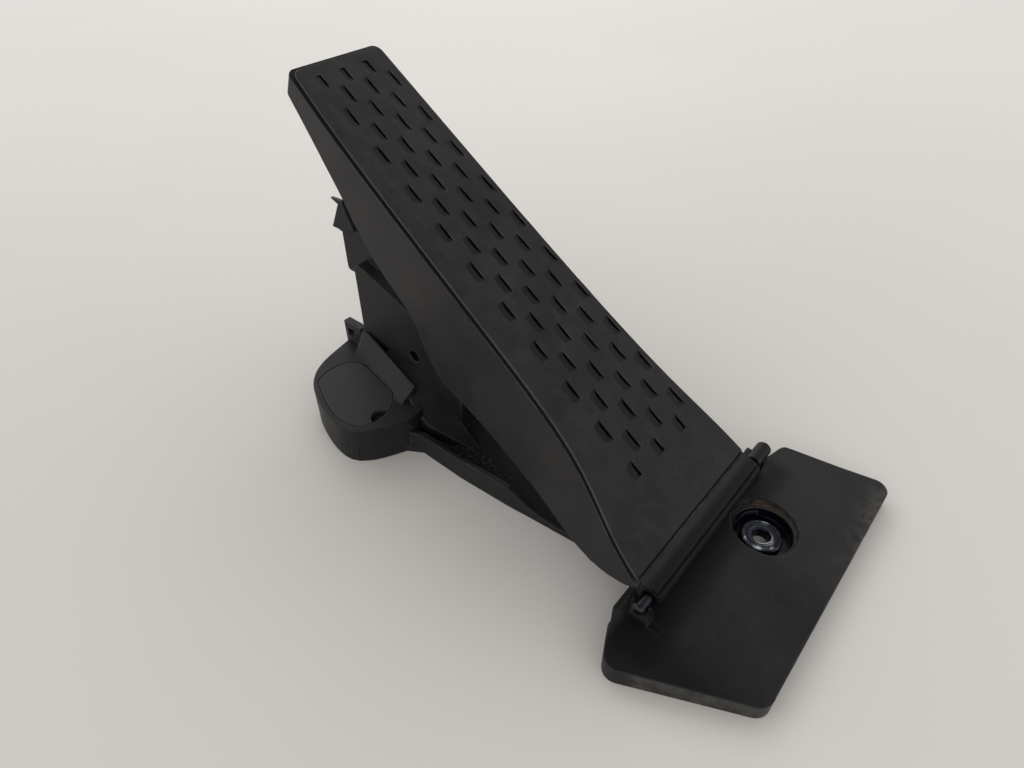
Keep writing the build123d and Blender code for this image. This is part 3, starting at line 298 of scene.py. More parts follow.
class Graph:
    """Adds and joins nodes of one tree with short calls."""

    def __init__(self, tree):
        self.tree = tree

    def node(self, kind, **settings):
        made = self.tree.nodes.new(kind)
        for name, value in settings.items():
            setattr(made, name, value)
        return made

    def feed(self, socket, value):
        """Joins a socket to another socket, or sets its plain value."""
        if isinstance(value, bpy.types.NodeSocket):
            self.tree.links.new(value, socket)
        else:
            socket.default_value = value

    def join(self, node, inputs):
        """Joins or sets a node's inputs by name."""
        for name, value in inputs.items():
            self.feed(node.inputs[name], value)
        return node

    def math(self, operation, *values, clamp=False):
        made = self.node("ShaderNodeMath", operation=operation, use_clamp=clamp)
        for socket, value in zip(made.inputs, values):
            self.feed(socket, value)
        return made.outputs[0]

    def times(self, first, *others):
        """Product of all the values."""
        for other in others:
            first = self.math("MULTIPLY", first, other)
        return first

    def plus(self, a, b):
        return self.math("ADD", a, b)

    def minus(self, a, b):
        return self.math("SUBTRACT", a, b)

    def ramp(self, value, low, high, smooth=True):
        """Value carried from low..high to 0..1 and held there."""
        made = self.node("ShaderNodeMapRange", interpolation_type="SMOOTHSTEP" if smooth else "LINEAR")
        for socket, given in zip(made.inputs, (value, low, high, 0.0, 1.0)):
            self.feed(socket, given)
        return made.outputs[0]

    def mix(self, share, a, b):
        """Colour a to colour b by share; a plain colour is (red, green, blue)."""
        made = self.node("ShaderNodeMix", data_type="RGBA", clamp_factor=True)
        self.feed(made.inputs[0], share)
        for socket, colour in ((made.inputs[6], a), (made.inputs[7], b)):
            self.feed(socket, (*colour, 1.0) if isinstance(colour, tuple) else colour)
        return made.outputs[2]

    def mark(self, base, mask, look):
        """Base colour under a mark of (strength, colour) where the mask says."""
        return self.mix(self.times(mask, look[0]), base, look[1])

    def noise(self, vector, scale, detail=4.0, rough=0.6):
        made = self.node("ShaderNodeTexNoise")
        self.join(made, {"Vector": vector, "Scale": scale, "Detail": detail, "Roughness": rough})
        return made.outputs[0]

    def place(self):
        """Object coordinates of the shaded point."""
        return self.node("ShaderNodeTexCoord").outputs["Object"]

    def normal(self):
        """Normal of the shaded point."""
        return self.node("ShaderNodeNewGeometry").outputs["Normal"]

    def split(self, vector):
        """The three parts of a vector."""
        made = self.node("ShaderNodeSeparateXYZ")
        self.feed(made.inputs[0], vector)
        return made.outputs

    def joined(self, *parts):
        """Vector of three parts."""
        made = self.node("ShaderNodeCombineXYZ")
        for socket, part in zip(made.inputs, parts):
            self.feed(socket, part)
        return made.outputs[0]

    def reach(self, x, y, centre):
        """Distance in plan from a centre."""
        dx, dy = self.minus(x, centre[0]), self.minus(y, centre[1])
        return self.math("SQRT", self.plus(self.times(dx, dx), self.times(dy, dy)))

    def attribute(self, name):
        """A mesh attribute read as a number in a material."""
        return self.node("ShaderNodeAttribute", attribute_name=name).outputs["Fac"]

    def named(self, name):
        """A mesh attribute read as a number in a geometry tree."""
        made = self.node("GeometryNodeInputNamedAttribute", data_type="FLOAT")
        return self.join(made, {"Name": name}).outputs["Attribute"]

    def stored(self, shape, name, value):
        """Geometry with a value kept on its points as a named attribute."""
        made = self.node("GeometryNodeStoreNamedAttribute", data_type="FLOAT", domain="POINT")
        return self.join(made, {"Name": name, "Geometry": shape, "Value": value}).outputs[0]

    def stretched(self, vector, scale):
        return self.join(self.node("ShaderNodeMapping"), {"Vector": vector, "Scale": scale}).outputs[0]

    def close(self, shape, finish):
        """Ends a geometry tree: instances made real, the finish set and the shape given out."""
        real = self.node("GeometryNodeRealizeInstances")
        self.feed(real.inputs[0], shape)
        coat = self.node("GeometryNodeSetMaterial")
        self.join(coat, {"Geometry": real.outputs[0], "Material": finish})
        self.feed(self.node("NodeGroupOutput").inputs[0], coat.outputs[0])


def shader_group(name, inputs, outputs):
    """New shader node group with named inputs and float outputs, as (tree, graph, its inputs, its outputs)."""
    tree = bpy.data.node_groups.new(name, "ShaderNodeTree")
    for label, value in inputs:
        kind = "NodeSocketVector" if isinstance(value, tuple) else "NodeSocketFloat"
        socket = tree.interface.new_socket(label, in_out="INPUT", socket_type=kind)
        socket.default_value = value
    for label in outputs:
        tree.interface.new_socket(label, in_out="OUTPUT", socket_type="NodeSocketFloat")
    graph = Graph(tree)
    return tree, graph, graph.node("NodeGroupInput").outputs, graph.node("NodeGroupOutput").inputs


def geometry_tree(name, taken, inputs, made):
    """New geometry node tree from one shape to another with named float inputs, as (tree, graph, its inputs)."""
    tree = bpy.data.node_groups.new(name, "GeometryNodeTree")
    tree.is_modifier = True
    tree.interface.new_socket(taken, in_out="INPUT", socket_type="NodeSocketGeometry")
    for label, value in inputs:
        socket = tree.interface.new_socket(label, in_out="INPUT", socket_type="NodeSocketFloat")
        socket.default_value = value
    tree.interface.new_socket("Finish", in_out="INPUT", socket_type="NodeSocketMaterial")
    tree.interface.new_socket(made, in_out="OUTPUT", socket_type="NodeSocketGeometry")
    graph = Graph(tree)
    return tree, graph, graph.node("NodeGroupInput").outputs


def moulded_grain():
    """Fine tool texture of a moulding and its slow patchiness."""
    scales = (("Grain Scale", 1700.0), ("Patch Scale", 45.0))
    tree, g, given, out = shader_group("Moulded Grain", scales, ("Height", "Patch"))
    place = g.place()
    fine = g.noise(place, given["Grain Scale"], detail=2.0, rough=0.6)
    coarse = g.noise(place, g.times(given["Grain Scale"], 0.27), detail=2.0, rough=0.5)
    g.feed(out["Height"], g.plus(g.times(fine, 0.65), g.times(coarse, 0.35)))
    patch = g.noise(place, given["Patch Scale"], detail=5.0, rough=0.62)
    g.feed(out["Patch"], g.ramp(patch, low=0.32, high=0.72))
    return tree


def settled_dust():
    """Dust that lies on what faces up, in cloudy patches and specks."""
    scales = (("Amount", 0.5), ("Cloud Scale", 30.0), ("Speck Scale", 900.0))
    tree, g, given, out = shader_group("Settled Dust", scales, ("Mask",))
    place = g.place()
    _, _, facing = g.split(g.normal())
    up = g.ramp(facing, low=0.05, high=0.85)
    cloud = g.ramp(g.noise(place, given["Cloud Scale"], detail=6.0, rough=0.7), low=0.35, high=0.75)
    speck = g.ramp(g.noise(place, given["Speck Scale"], detail=1.0, rough=0.5), low=0.66, high=0.78)
    lying = g.times(up, g.plus(g.times(cloud, 0.6), g.times(speck, 0.55)))
    g.feed(out["Mask"], g.math("MULTIPLY", lying, given["Amount"], clamp=True))
    return tree


def edge_wear():
    """Rubbed edges, which on the treadle also stand for a painted highlight: where a rounded normal leaves the true
    one, broken up by noise.
    """
    scales = (("Radius", 0.8 * MM), ("Breakup", 260.0), ("Amount", 1.0))
    tree, g, given, out = shader_group("Edge Wear", scales, ("Mask",))
    bevel = g.node("ShaderNodeBevel", samples=4)
    g.feed(bevel.inputs["Radius"], given["Radius"])
    dot = g.node("ShaderNodeVectorMath", operation="DOT_PRODUCT")
    g.feed(dot.inputs[0], bevel.outputs[0])
    g.feed(dot.inputs[1], g.normal())
    edge = g.ramp(dot.outputs["Value"], low=0.995, high=0.9)
    broken = g.ramp(g.noise(g.place(), given["Breakup"], detail=4.0, rough=0.7), low=0.4, high=0.62)
    g.feed(out["Mask"], g.math("MULTIPLY", g.times(edge, broken), given["Amount"], clamp=True))
    return tree


def drawn_metal():
    """Fine streaks of drawn or turned metal and its cloudy stains."""
    scales = (("Stretch", (60.0, 2600.0, 2600.0)), ("Stain Scale", 220.0))
    tree, g, given, out = shader_group("Drawn Metal", scales, ("Lines", "Stain"))
    place = g.place()
    g.feed(out["Lines"], g.noise(g.stretched(place, given["Stretch"]), 1.0, detail=3.0, rough=0.6))
    stain = g.noise(place, given["Stain Scale"], detail=4.0, rough=0.65)
    g.feed(out["Stain"], g.ramp(stain, low=0.45, high=0.75))
    return tree


def mottle():
    """Soft mottling of small inner pieces."""
    tree, g, given, out = shader_group("Mottle", (("Scale", 300.0),), ("Tone", "Height"))
    cloud = g.noise(g.place(), given["Scale"])
    g.feed(out["Height"], cloud)
    g.feed(out["Tone"], g.ramp(cloud, low=0.35, high=0.7))
    return tree


GRAIN = moulded_grain()
DUST = settled_dust()
WEAR = edge_wear()
DRAWN = drawn_metal()
MOTTLE = mottle()


def new_material(name):
    """New node material, as (material, graph, principled shader)."""
    made = bpy.data.materials.new(name)
    made.use_nodes = True
    return made, Graph(made.node_tree), made.node_tree.nodes["Principled BSDF"]


def placed(graph, tree, **values):
    """Outputs of a shader group placed in a material with its own values."""
    return graph.join(graph.node("ShaderNodeGroup", node_tree=tree), values).outputs


def bumped(graph, shader, height, strength, distance):
    """Bends a shader's normal by a height."""
    bump = graph.node("ShaderNodeBump")
    graph.join(bump, {"Strength": strength, "Distance": distance, "Height": height})
    graph.feed(shader.inputs["Normal"], bump.outputs[0])


def plastic(name, colour, patch_colour, rough, dust, wear, marks=None, breakup=260.0):
    """Moulded plastic with grain, patchiness, dust and rubbed edges (on the treadle also a painted highlight), then the
    marks of its own places.
    """
    made, g, shader = new_material(name)
    grain = placed(g, GRAIN)
    base = g.mix(grain["Patch"], colour, patch_colour)
    dusty = placed(g, DUST, Amount=dust)
    base = g.mark(base, dusty["Mask"], DUST_PALE)
    worn = placed(g, WEAR, Amount=wear, Breakup=breakup)
    base = g.mark(base, worn["Mask"], EDGE_WEAR_AND_HIGHLIGHT)
    roughness = g.plus(g.times(grain["Patch"], PATCH_ROUGH), rough)
    roughness = g.math("ADD", roughness, g.times(dusty["Mask"], DUST_ROUGH), clamp=True)
    if marks:
        base, roughness = marks(g, base, roughness)
    g.join(shader, {"Base Color": base, "Roughness": roughness, "Specular IOR Level": PLASTIC_SHINE})
    bumped(g, shader, grain["Height"], strength=0.35, distance=0.08 * MM)
    return made


def tread_marks(g, base, roughness):
    """Warm and cool clouds, painted shade on the ramps, soil in the low rows, and black painted shade in the cracks and
    along the hem at the nose.
    """
    place = g.place()
    depth = g.attribute("slit_depth")
    for scale, band, look in TREAD_CLOUDS:
        base = g.mark(base, g.ramp(g.noise(place, scale), *band), look)
    base = g.mark(base, g.ramp(depth, *SHADE_DEPTH), SLIT_SHADE)
    _, y, _ = g.split(place)
    low_rows = g.plus(g.times(g.ramp(y, *LOW_ROWS_Y), 1.0 - SOIL_LEAST), SOIL_LEAST)
    clump = g.times(g.ramp(g.noise(place, SOIL_SCALE, detail=5.0, rough=0.7), *SOIL_CLUMP), low_rows)
    base = g.mark(base, g.times(g.ramp(depth, *SOIL_DEPTH), clump), SLIT_SOIL)
    base = g.mark(base, g.attribute("crack"), CRACK_SHADE)
    return g.mark(base, g.attribute("hem"), HEM_SHADE), roughness


def along_and_up(g, vector, height):
    """Parts of a vector along the tread and square to its face, measured from a height."""
    _, y, z = g.split(vector)
    z = g.minus(z, height)
    along = g.plus(g.times(y, ALONG.y), g.times(z, ALONG.z))
    return along, g.plus(g.times(y, NORMAL.y), g.times(z, NORMAL.z))


def rim_marks(g, base, place):
    """Painted shade on the narrow land round the tread's face, and a painted highlight on the step above it."""
    s, up = along_and_up(g, place, FACE_Z)
    _, facing = along_and_up(g, g.normal(), 0.0)
    on_tread = g.ramp(s, *RIM_START)
    land = g.times(g.ramp(up, *LAND_TOP), g.ramp(up, *LAND_LOW), on_tread, g.ramp(facing, *LAND_FACING))
    base = g.mark(base, land, LAND_SHADE)
    step = g.times(g.ramp(up, *STEP_TOP), g.ramp(facing, *STEP_FACING), on_tread)
    return g.mark(base, step, STEP_HIGHLIGHT)


def skirt_marks(g, base, roughness):
    """A faint warm smear of road dirt on the skirt, the tread's rim with its painted shade and highlight, and the nose
    painted darker over the hinge.
    """
    place = g.place()
    _, y, _ = g.split(place)
    base = g.mark(base, g.ramp(g.noise(place, SMEAR_SCALE), *SMEAR_BAND), ROAD_SMEAR)
    base = rim_marks(g, base, place)
    return g.mark(base, g.ramp(y, *NOSE_Y), NOSE_DARK), roughness


def base_marks(g, base, roughness):
    """The foot plate's painted shade on its facet, by the hinge and on the saddles, its worn corner, lighter patches on
    its left walls, and the grimy well round the bush with painted shade deep inside.
    """
    place = g.place()
    x, y, z = g.split(place)
    _, _, facing = g.split(g.normal())
    plate_top = g.plus(g.times(g.minus(y, PLATE_FRONT[0]), PLATE_SLOPE), PLATE_FRONT[1])
    below = g.minus(plate_top, z)
    on_plate = g.ramp(y, *PLATE_END_Y)
    facet = g.times(g.ramp(below, *FACET_DROP), g.ramp(facing, *FLAT_FACING), g.ramp(x, *FACET_X), on_plate)
    base = g.mark(base, facet, FACET_SHADE)
    hinge = g.times(g.ramp(y, *HINGE_Y), g.ramp(x, *HINGE_LEFT_X), on_plate, g.ramp(x, *HINGE_RIGHT_X))
    saddle = g.times(g.ramp(below, *SADDLE_RISE), g.ramp(y, *SADDLE_Y), g.ramp(x, *SADDLE_X))
    base = g.mark(base, g.math("MAXIMUM", hinge, saddle), HINGE_SHADE)
    cloud = g.noise(place, PLATE_SCALE, detail=6.0, rough=0.68)
    corner = g.times(g.ramp(y, *CORNER_Y), g.ramp(x, *CORNER_X), g.ramp(cloud, *CORNER_CLOUD))
    base = g.mark(base, corner, CORNER_WORN)
    wall = g.times(g.ramp(facing, *WALL_FACING), g.ramp(x, *WALL_X), g.ramp(y, *WALL_Y), g.ramp(cloud, *WALL_CLOUD))
    base = g.mark(base, wall, WALL_PALE)
    inside = g.times(g.ramp(g.reach(x, y, FOOT_BUSH), *WELL_R), g.ramp(below, *WELL_DROP))
    deep = g.times(inside, g.ramp(z, *WELL_DEEP_Z))
    far = g.plus(g.times(x, GRIME_SIDE[0]), g.times(y, GRIME_SIDE[1]))
    middle = FOOT_BUSH[0] * GRIME_SIDE[0] + FOOT_BUSH[1] * GRIME_SIDE[1]
    far = g.ramp(far, middle + GRIME_FROM[0], middle + GRIME_FROM[1])
    grime = g.times(g.minus(inside, deep), far, g.ramp(cloud, *GRIME_CLOUD))
    base = g.mark(base, grime, WELL_GRIME)
    return g.mark(base, deep, WELL_SHADE), g.minus(roughness, g.times(deep, WELL_GLOSS))


def turned_steel(name):
    """Plated bush with turning rings round its bore, their dark and bright tones painted highlights, and a dark rim
    with painted highlight streaks.
    """
    made, g, shader = new_material(name)
    place = g.place()
    x, y, _ = g.split(place)
    radius = g.reach(x, y, FOOT_BUSH)
    spot = g.joined(g.times(radius, RING_STRETCH[0]), g.times(x, RING_STRETCH[1]), g.times(y, RING_STRETCH[1]))
    rings = g.noise(spot, 1.0, detail=2.0, rough=0.5)
    tone = g.mix(g.ramp(rings, *RING_BAND), RING_DARK, RING_HIGHLIGHT)
    streak = g.ramp(g.noise(place, STREAK_SCALE, detail=2.0, rough=0.5), *STREAK_BAND)
    tone = g.mark(tone, g.times(g.ramp(radius, *BUSH_RIM), streak), RIM_DARK)
    rough = g.plus(g.times(rings, RING_ROUGH[1]), RING_ROUGH[0])
    g.join(shader, {"Base Color": tone, "Metallic": 1.0, "Roughness": rough})
    bumped(g, shader, rings, strength=0.35, distance=0.12 * MM)
    return made


def metal(name, colour, stained, rough, stretch=(60.0, 2600.0, 2600.0)):
    """Drawn or plated metal with fine streaks and cloudy stains."""
    made, g, shader = new_material(name)
    drawn = placed(g, DRAWN, Stretch=stretch)
    g.join(shader, {"Base Color": g.mix(drawn["Stain"], colour, stained), "Metallic": 1.0,
                    "Roughness": g.plus(g.times(drawn["Lines"], LINE_ROUGH), rough)})
    bumped(g, shader, drawn["Lines"], strength=0.12, distance=0.04 * MM)
    return made


def plain_finish(name, colour, other, rough, scale, metallic=0.0):
    """Small inner pieces: two close tones mottled together over a fine bump."""
    made, g, shader = new_material(name)
    cloud = placed(g, MOTTLE, Scale=scale)
    g.join(shader, {"Base Color": g.mix(cloud["Tone"], colour, other), "Metallic": metallic,
                    "Roughness": g.plus(g.times(cloud["Height"], MOTTLE_ROUGH), rough)})
    bumped(g, shader, cloud["Height"], strength=0.15, distance=0.05 * MM)
    return made


def make_materials():
    """The looks: one for each slot of the record, and those of single pieces."""
    return {
        # Strong, little broken-up edge wear on the tread and treadle also paints a highlight line along their rim
        "woven": plastic("tread_plastic", (0.0108, 0.0108, 0.0112), (0.0166, 0.016, 0.0159),
                         rough=0.46, dust=0.16, wear=0.7, marks=tread_marks, breakup=60.0),
        "tread_plastic": plastic("treadle_plastic", (0.0148, 0.0144, 0.0148), (0.0215, 0.0205, 0.0202),
                                 rough=0.46, dust=0.14, wear=0.9, marks=skirt_marks, breakup=60.0),
        "base_plastic": plastic("base_plastic", (0.011, 0.0112, 0.0115), (0.0156, 0.0153, 0.0152),
                                rough=0.42, dust=0.14, wear=0.55, marks=base_marks),
        "cap": plastic("cap_plastic", (0.025, 0.0238, 0.0243), (0.033, 0.0311, 0.0317),
                       rough=0.48, dust=0.14, wear=0.5),
        "bush": turned_steel("turned_bush"),
        "bright_steel": metal("bright_steel", (0.026, 0.028, 0.034), (0.012, 0.011, 0.01), rough=0.2),
        "zinc_steel": metal("zinc_steel", (0.3, 0.31, 0.33), (0.1, 0.085, 0.07), rough=0.16,
                            stretch=(900.0, 900.0, 2600.0)),
        "spring_steel": metal("spring_wire", (0.36, 0.36, 0.37), (0.2, 0.2, 0.2), rough=0.28,
                              stretch=(700.0, 700.0, 700.0)),
        "crumbs": plain_finish("soil_crumbs", (0.04, 0.034, 0.028), (0.115, 0.102, 0.086), rough=0.8, scale=700.0),
        "lever_plastic": plain_finish("natural_acetal", (0.56, 0.53, 0.46), (0.62, 0.6, 0.54), rough=0.35, scale=90.0),
        "seal_rubber": plain_finish("seal_rubber", (0.012, 0.012, 0.012), (0.022, 0.021, 0.02), rough=0.6, scale=400.0),
        "board": plain_finish("circuit_board", (0.012, 0.085, 0.035), (0.018, 0.12, 0.05), rough=0.32, scale=260.0),
        "chip": plain_finish("chip_body", (0.012, 0.012, 0.013), (0.02, 0.02, 0.02), rough=0.45, scale=900.0),
        "magnet_steel": plain_finish("sintered_magnet", (0.16, 0.16, 0.17), (0.24, 0.24, 0.24),
                                     rough=0.4, scale=700.0, metallic=1.0),
        "terminal_brass": plain_finish("tinned_brass", (0.62, 0.52, 0.3), (0.72, 0.62, 0.4),
                                       rough=0.22, scale=500.0, metallic=1.0),
    }


def tread_point(x, s, d):
    """Point of the tread at x across, s along from the hinge and d below the face."""
    return Vector((x, 0.0, FACE_Z)) + ALONG * s - NORMAL * d


def tread_places(points):
    """Tread coordinates (x, s, d) of an array of points."""
    shifted = points - np.array((0.0, 0.0, FACE_Z))
    return points[:, 0], shifted @ np.array(ALONG), -(shifted @ np.array(NORMAL))


def finished(obj, body, slot, *nodes):
    """Rides a piece on a body and hides the CAD nodes that it stands for. Its slot is not used."""
    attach(obj, body)
    if nodes:
        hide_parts(*nodes)
    return obj


def quads(rows, count, closed):
    """Four-sided faces between rows of as many points each, the rows closed into rings or open."""
    return [(count * r + c, count * r + (c + 1) % count, count * (r + 1) + (c + 1) % count, count * (r + 1) + c)
            for r in range(rows - 1) for c in range(count if closed else count - 1)]


@contextmanager
def edited(mesh):
    """A mesh's elements to work on, written back afterwards."""
    work = bmesh.new()
    work.from_mesh(mesh)
    yield work
    work.to_mesh(mesh)
    work.free()


def in_scene(name, data):
    """New object of the scene."""
    obj = bpy.data.objects.new(name, data)
    bpy.context.scene.collection.objects.link(obj)
    return obj


def linked(name, mesh, *materials):
    """New object of the scene with a mesh and its materials."""
    for material in materials:
        mesh.materials.append(material)
    return in_scene(name, mesh)


def aimed(obj, at, way):
    """Puts a light or camera at a place and turns it to look a way."""
    obj.location = at
    obj.rotation_mode = "QUATERNION"
    obj.rotation_quaternion = way.to_track_quat("-Z", "Y")


def merged_copy(node, drop=None):
    """Joined copy of a CAD node's mesh with flat regions as single faces; drop says which faces to leave out."""
    mesh = frame["nodes"][node].data.copy()
    mesh.materials.clear()
    with edited(mesh) as work:
        bmesh.ops.remove_doubles(work, verts=work.verts, dist=TINY)
        if drop is not None:
            gone = [f for f in work.faces if drop(np.array([v.co for v in f.verts]))]
            bmesh.ops.delete(work, geom=gone, context="FACES")
        bmesh.ops.dissolve_limit(work, angle_limit=FLAT_ANGLE, verts=work.verts, edges=work.edges)
    return mesh


def baked(obj):
    """The object with its modifiers made into a plain mesh."""
    made = bpy.data.meshes.new_from_object(obj.evaluated_get(bpy.context.evaluated_depsgraph_get()))
    obj.modifiers.clear()
    obj.data = made
    return obj


def crease_ways():
    """The way along the foot plate's crease, and the level way square to it."""
    run = FACET_CREASE[1] - FACET_CREASE[0]
    return run, Vector((run.y, -run.x, 0.0)).normalized()


def eased_crease(mesh):
    """Cuts the foot plate's top on both sides of its shallow crease, so that smooth shading bends only there."""

    def on_top(face):
        lowest = min(v.co.z for v in face.verts)
        forward = face.calc_center_median().y < PLATE_BACK_Y
        return face.normal.z > PLATE_UPWARD and forward and lowest > PLATE_LEAST_Z

    _, side = crease_ways()
    with edited(mesh) as work:
        for share in (-1.0, -0.5, 0.5, 1.0):
            top = [f for f in work.faces if on_top(f)]
            parts = set(top) | {e for f in top for e in f.edges} | {v for f in top for v in f.verts}
            cut = FACET_CREASE[0] + side * (share * PLATE_BEND)
            bmesh.ops.bisect_plane(work, geom=list(parts), dist=TINY, plane_co=cut, plane_no=side)
    return mesh


def bent_normals(obj):
    """Turns the normals of the foot plate's top gradually from its facet to its main face across the crease."""
    mesh = obj.data
    run, side = crease_ways()
    plate = Vector((0.0, -PLATE_SLOPE, 1.0)).normalized()
    facet = (FACET_LEFT - FACET_CREASE[0]).cross(run).normalized()
    facet = facet if facet.z > 0 else -facet
    normals = [Vector(n.vector) for n in mesh.corner_normals]
    for face in mesh.polygons:
        flatness = max(face.normal.dot(plate), face.normal.dot(facet))
        if flatness < PLATE_FLATNESS or face.center.z < PLATE_LEAST_Z or face.center.y > PLATE_BACK_Y:
            continue
        for corner in face.loop_indices:
            away = (mesh.vertices[mesh.loops[corner].vertex_index].co - FACET_CREASE[0]).dot(side)
            share = min(max((away / PLATE_BEND + 1.0) / 2.0, 0.0), 1.0)
            normals[corner] = facet.lerp(plate, share * share * (3.0 - 2.0 * share)).normalized()
    mesh.normals_split_custom_set(normals)


def softened(obj, width):
    """Rounds a moulding's sharp edges, leaving out corners where the round would throw a spike."""
    mesh = obj.data
    mesh.shade_smooth()
    mesh.set_sharp_from_angle(angle=SHARP_ANGLE)
    mesh.attributes.new("corner", "INT", "POINT").data.foreach_set("value", np.arange(len(mesh.vertices)))
    mesh.attributes.new("bevel_weight_edge", "FLOAT", "EDGE")
    ends = np.array([e.vertices[:] for e in mesh.edges])
    sharp = np.array([e.use_edge_sharp for e in mesh.edges])
    bevel = obj.modifiers.new("edge_round", "BEVEL")
    bevel.limit_method = "WEIGHT"
    bevel.width = width
    bevel.segments = ROUND_SEGMENTS
    bevel.use_clamp_overlap = False
    old = BVHTree.FromPolygons([v.co for v in mesh.vertices], [p.vertices for p in mesh.polygons])

    def strays(verts):
        """Vertices too far from the old surface, each with its nearest place there."""
        pairs = [(v, old.find_nearest(v.co)[0]) for v in verts]
        return [(v, near) for v, near in pairs if (v.co - near).length > ROUND_STRAY * width]

    for _ in range(ROUND_TRIES):
        mesh.attributes["bevel_weight_edge"].data.foreach_set("value", sharp.astype(np.float32))
        mesh.update()
        ready = obj.evaluated_get(bpy.context.evaluated_depsgraph_get()).to_mesh()
        corners = ready.attributes["corner"].data
        bad = [corners[v.index].value for v, _ in strays(ready.vertices)]
        obj.to_mesh_clear()
        if not bad:
            break
        sharp &= ~np.isin(ends, bad).any(axis=1)
    baked(obj)
    for v, near in strays(obj.data.vertices):
        v.co = near
    flat = obj.modifiers.new("even_normals", "WEIGHTED_NORMAL")
    flat.keep_sharp = True
    flat.weight = NORMAL_WEIGHT
    return baked(obj)


def field_line(fan, s):
    """Place across of one of the fan's outer column lines at s."""
    share = (s - SLIT_LOW) / (SLIT_TOP - SLIT_LOW)
    return fan[0] + (fan[1] - fan[0]) * share


def hole_edges(mesh):
    """Rim of the hole that the dropped tread top leaves in the shell: its left and right x at any s, and its ends."""
    work = bmesh.new()
    work.from_mesh(mesh)
    rim = np.array([[v.co for v in e.verts] for e in work.edges if e.is_boundary])
    work.free()
    x, s, _ = tread_places(rim.reshape(-1, 3))
    x, s = x.reshape(-1, 2), s.reshape(-1, 2)
    lows, highs = s.min(axis=1), s.max(axis=1)

    def span(at):
        met = (lows <= at) & (highs >= at) & (highs - lows > 0.1 * TINY)
        share = (at - s[met, 0]) / (s[met, 1] - s[met, 0])
        spots = x[met, 0] + (x[met, 1] - x[met, 0]) * share
        return spots.min(), spots.max()

    return span, s.min(), s.max()


def weave_tree():
    """Node tree that presses the woven relief of stepped slits into a flat tread skin."""
    tree, g, given = geometry_tree("Woven Tread", "Skin", WEAVE_SIZES, "Tread")
    across, s = g.named("column"), g.named("run")
    top, pitch = given["Slit Top"], given["Slit Pitch"]
    wall = g.math("CEIL", across)
    share = g.plus(g.minus(across, wall), 1.0)
    slope = g.ramp(share, g.minus(1.0, given["Ramp Share"]), 1.0, smooth=False)
    slope = g.math("POWER", slope, RAMP_POWER)
    odd = g.math("MODULO", g.math("ABSOLUTE", wall), 2.0)
    row = g.minus(g.math("DIVIDE", g.minus(top, s), pitch), g.times(odd, 0.5))
    off = g.times(g.math("ABSOLUTE", g.minus(row, g.math("ROUND", row))), pitch)
    half = g.times(given["Slit Length"], 0.5)
    lens = g.ramp(off, g.times(half, SLIT_ENDS[0]), g.times(half, SLIT_ENDS[1]))
    first = g.math("GREATER_THAN", wall, -0.5)
    last = g.math("LESS_THAN", wall, g.minus(given["Columns"], 0.5))
    below_top = g.math("LESS_THAN", s, g.plus(top, given["Field End"]))
    low = g.minus(top, g.times(given["Rows"], pitch))
    above_low = g.math("GREATER_THAN", s, g.minus(low, given["Field End"]))
    inside = g.times(first, last, below_top, above_low)
    depth = g.times(slope, lens, inside)
    point = g.ramp(off, g.times(half, CRACK_ENDS[0]), g.times(half, CRACK_ENDS[1]), smooth=False)
    width = g.minus(1.0, g.times(g.minus(1.0, given["Crack From"]), point))
    crack = g.ramp(share, g.minus(width, CRACK_EDGE[0]), g.plus(width, CRACK_EDGE[1]), smooth=False)
    crack = g.times(crack, g.math("GREATER_THAN", point, CRACK_LEAST), inside)
    edge = g.ramp(across, *FIELD_EDGE)
    top_end = g.ramp(s, g.plus(top, FIELD_TOP_FADE[0]), g.minus(top, FIELD_TOP_FADE[1]))
    low_end = g.ramp(s, g.minus(low, FIELD_LOW_FADE[0]), g.plus(low, FIELD_LOW_FADE[1]))
    sink = g.times(edge, top_end, low_end, given["Field Sink"])
    drop = g.plus(g.times(depth, given["Slit Depth"]), sink)
    drop = g.plus(drop, g.times(crack, given["Crack Depth"]))
    push = g.node("ShaderNodeVectorMath", operation="SCALE")
    push.inputs[0].default_value = -NORMAL
    g.feed(push.inputs["Scale"], drop)
    moved = g.node("GeometryNodeSetPosition")
    g.join(moved, {"Geometry": given["Skin"], "Offset": push.outputs[0]})
    marked = g.stored(moved.outputs[0], "slit_depth", depth)
    g.close(g.stored(marked, "crack", crack), given["Finish"])
    return tree


def through_tree(name, mesh, tree, **inputs):
    """Mesh that a node tree makes of a start mesh, as a plain mesh with no modifier left."""
    holder = linked(name + "_start", mesh)
    modifier = holder.modifiers.new("nodes", "NODES")
    modifier.node_group = tree
    for item in tree.interface.items_tree:
        label = item.name.replace(" ", "_").lower()
        if item.in_out == "INPUT" and label in inputs:
            modifier[item.identifier] = inputs[label]
    made = baked(holder).data
    bpy.data.objects.remove(holder)
    made.name = name
    return made


def column_lines():
    """Lines across the woven field in column units, close together at each slit's wall."""
    lines = {round(k + step, 4) for k in range(SLIT_COLUMNS) for step in COLUMN_STEPS}
    return sorted(lines | set(FIELD_EDGE))


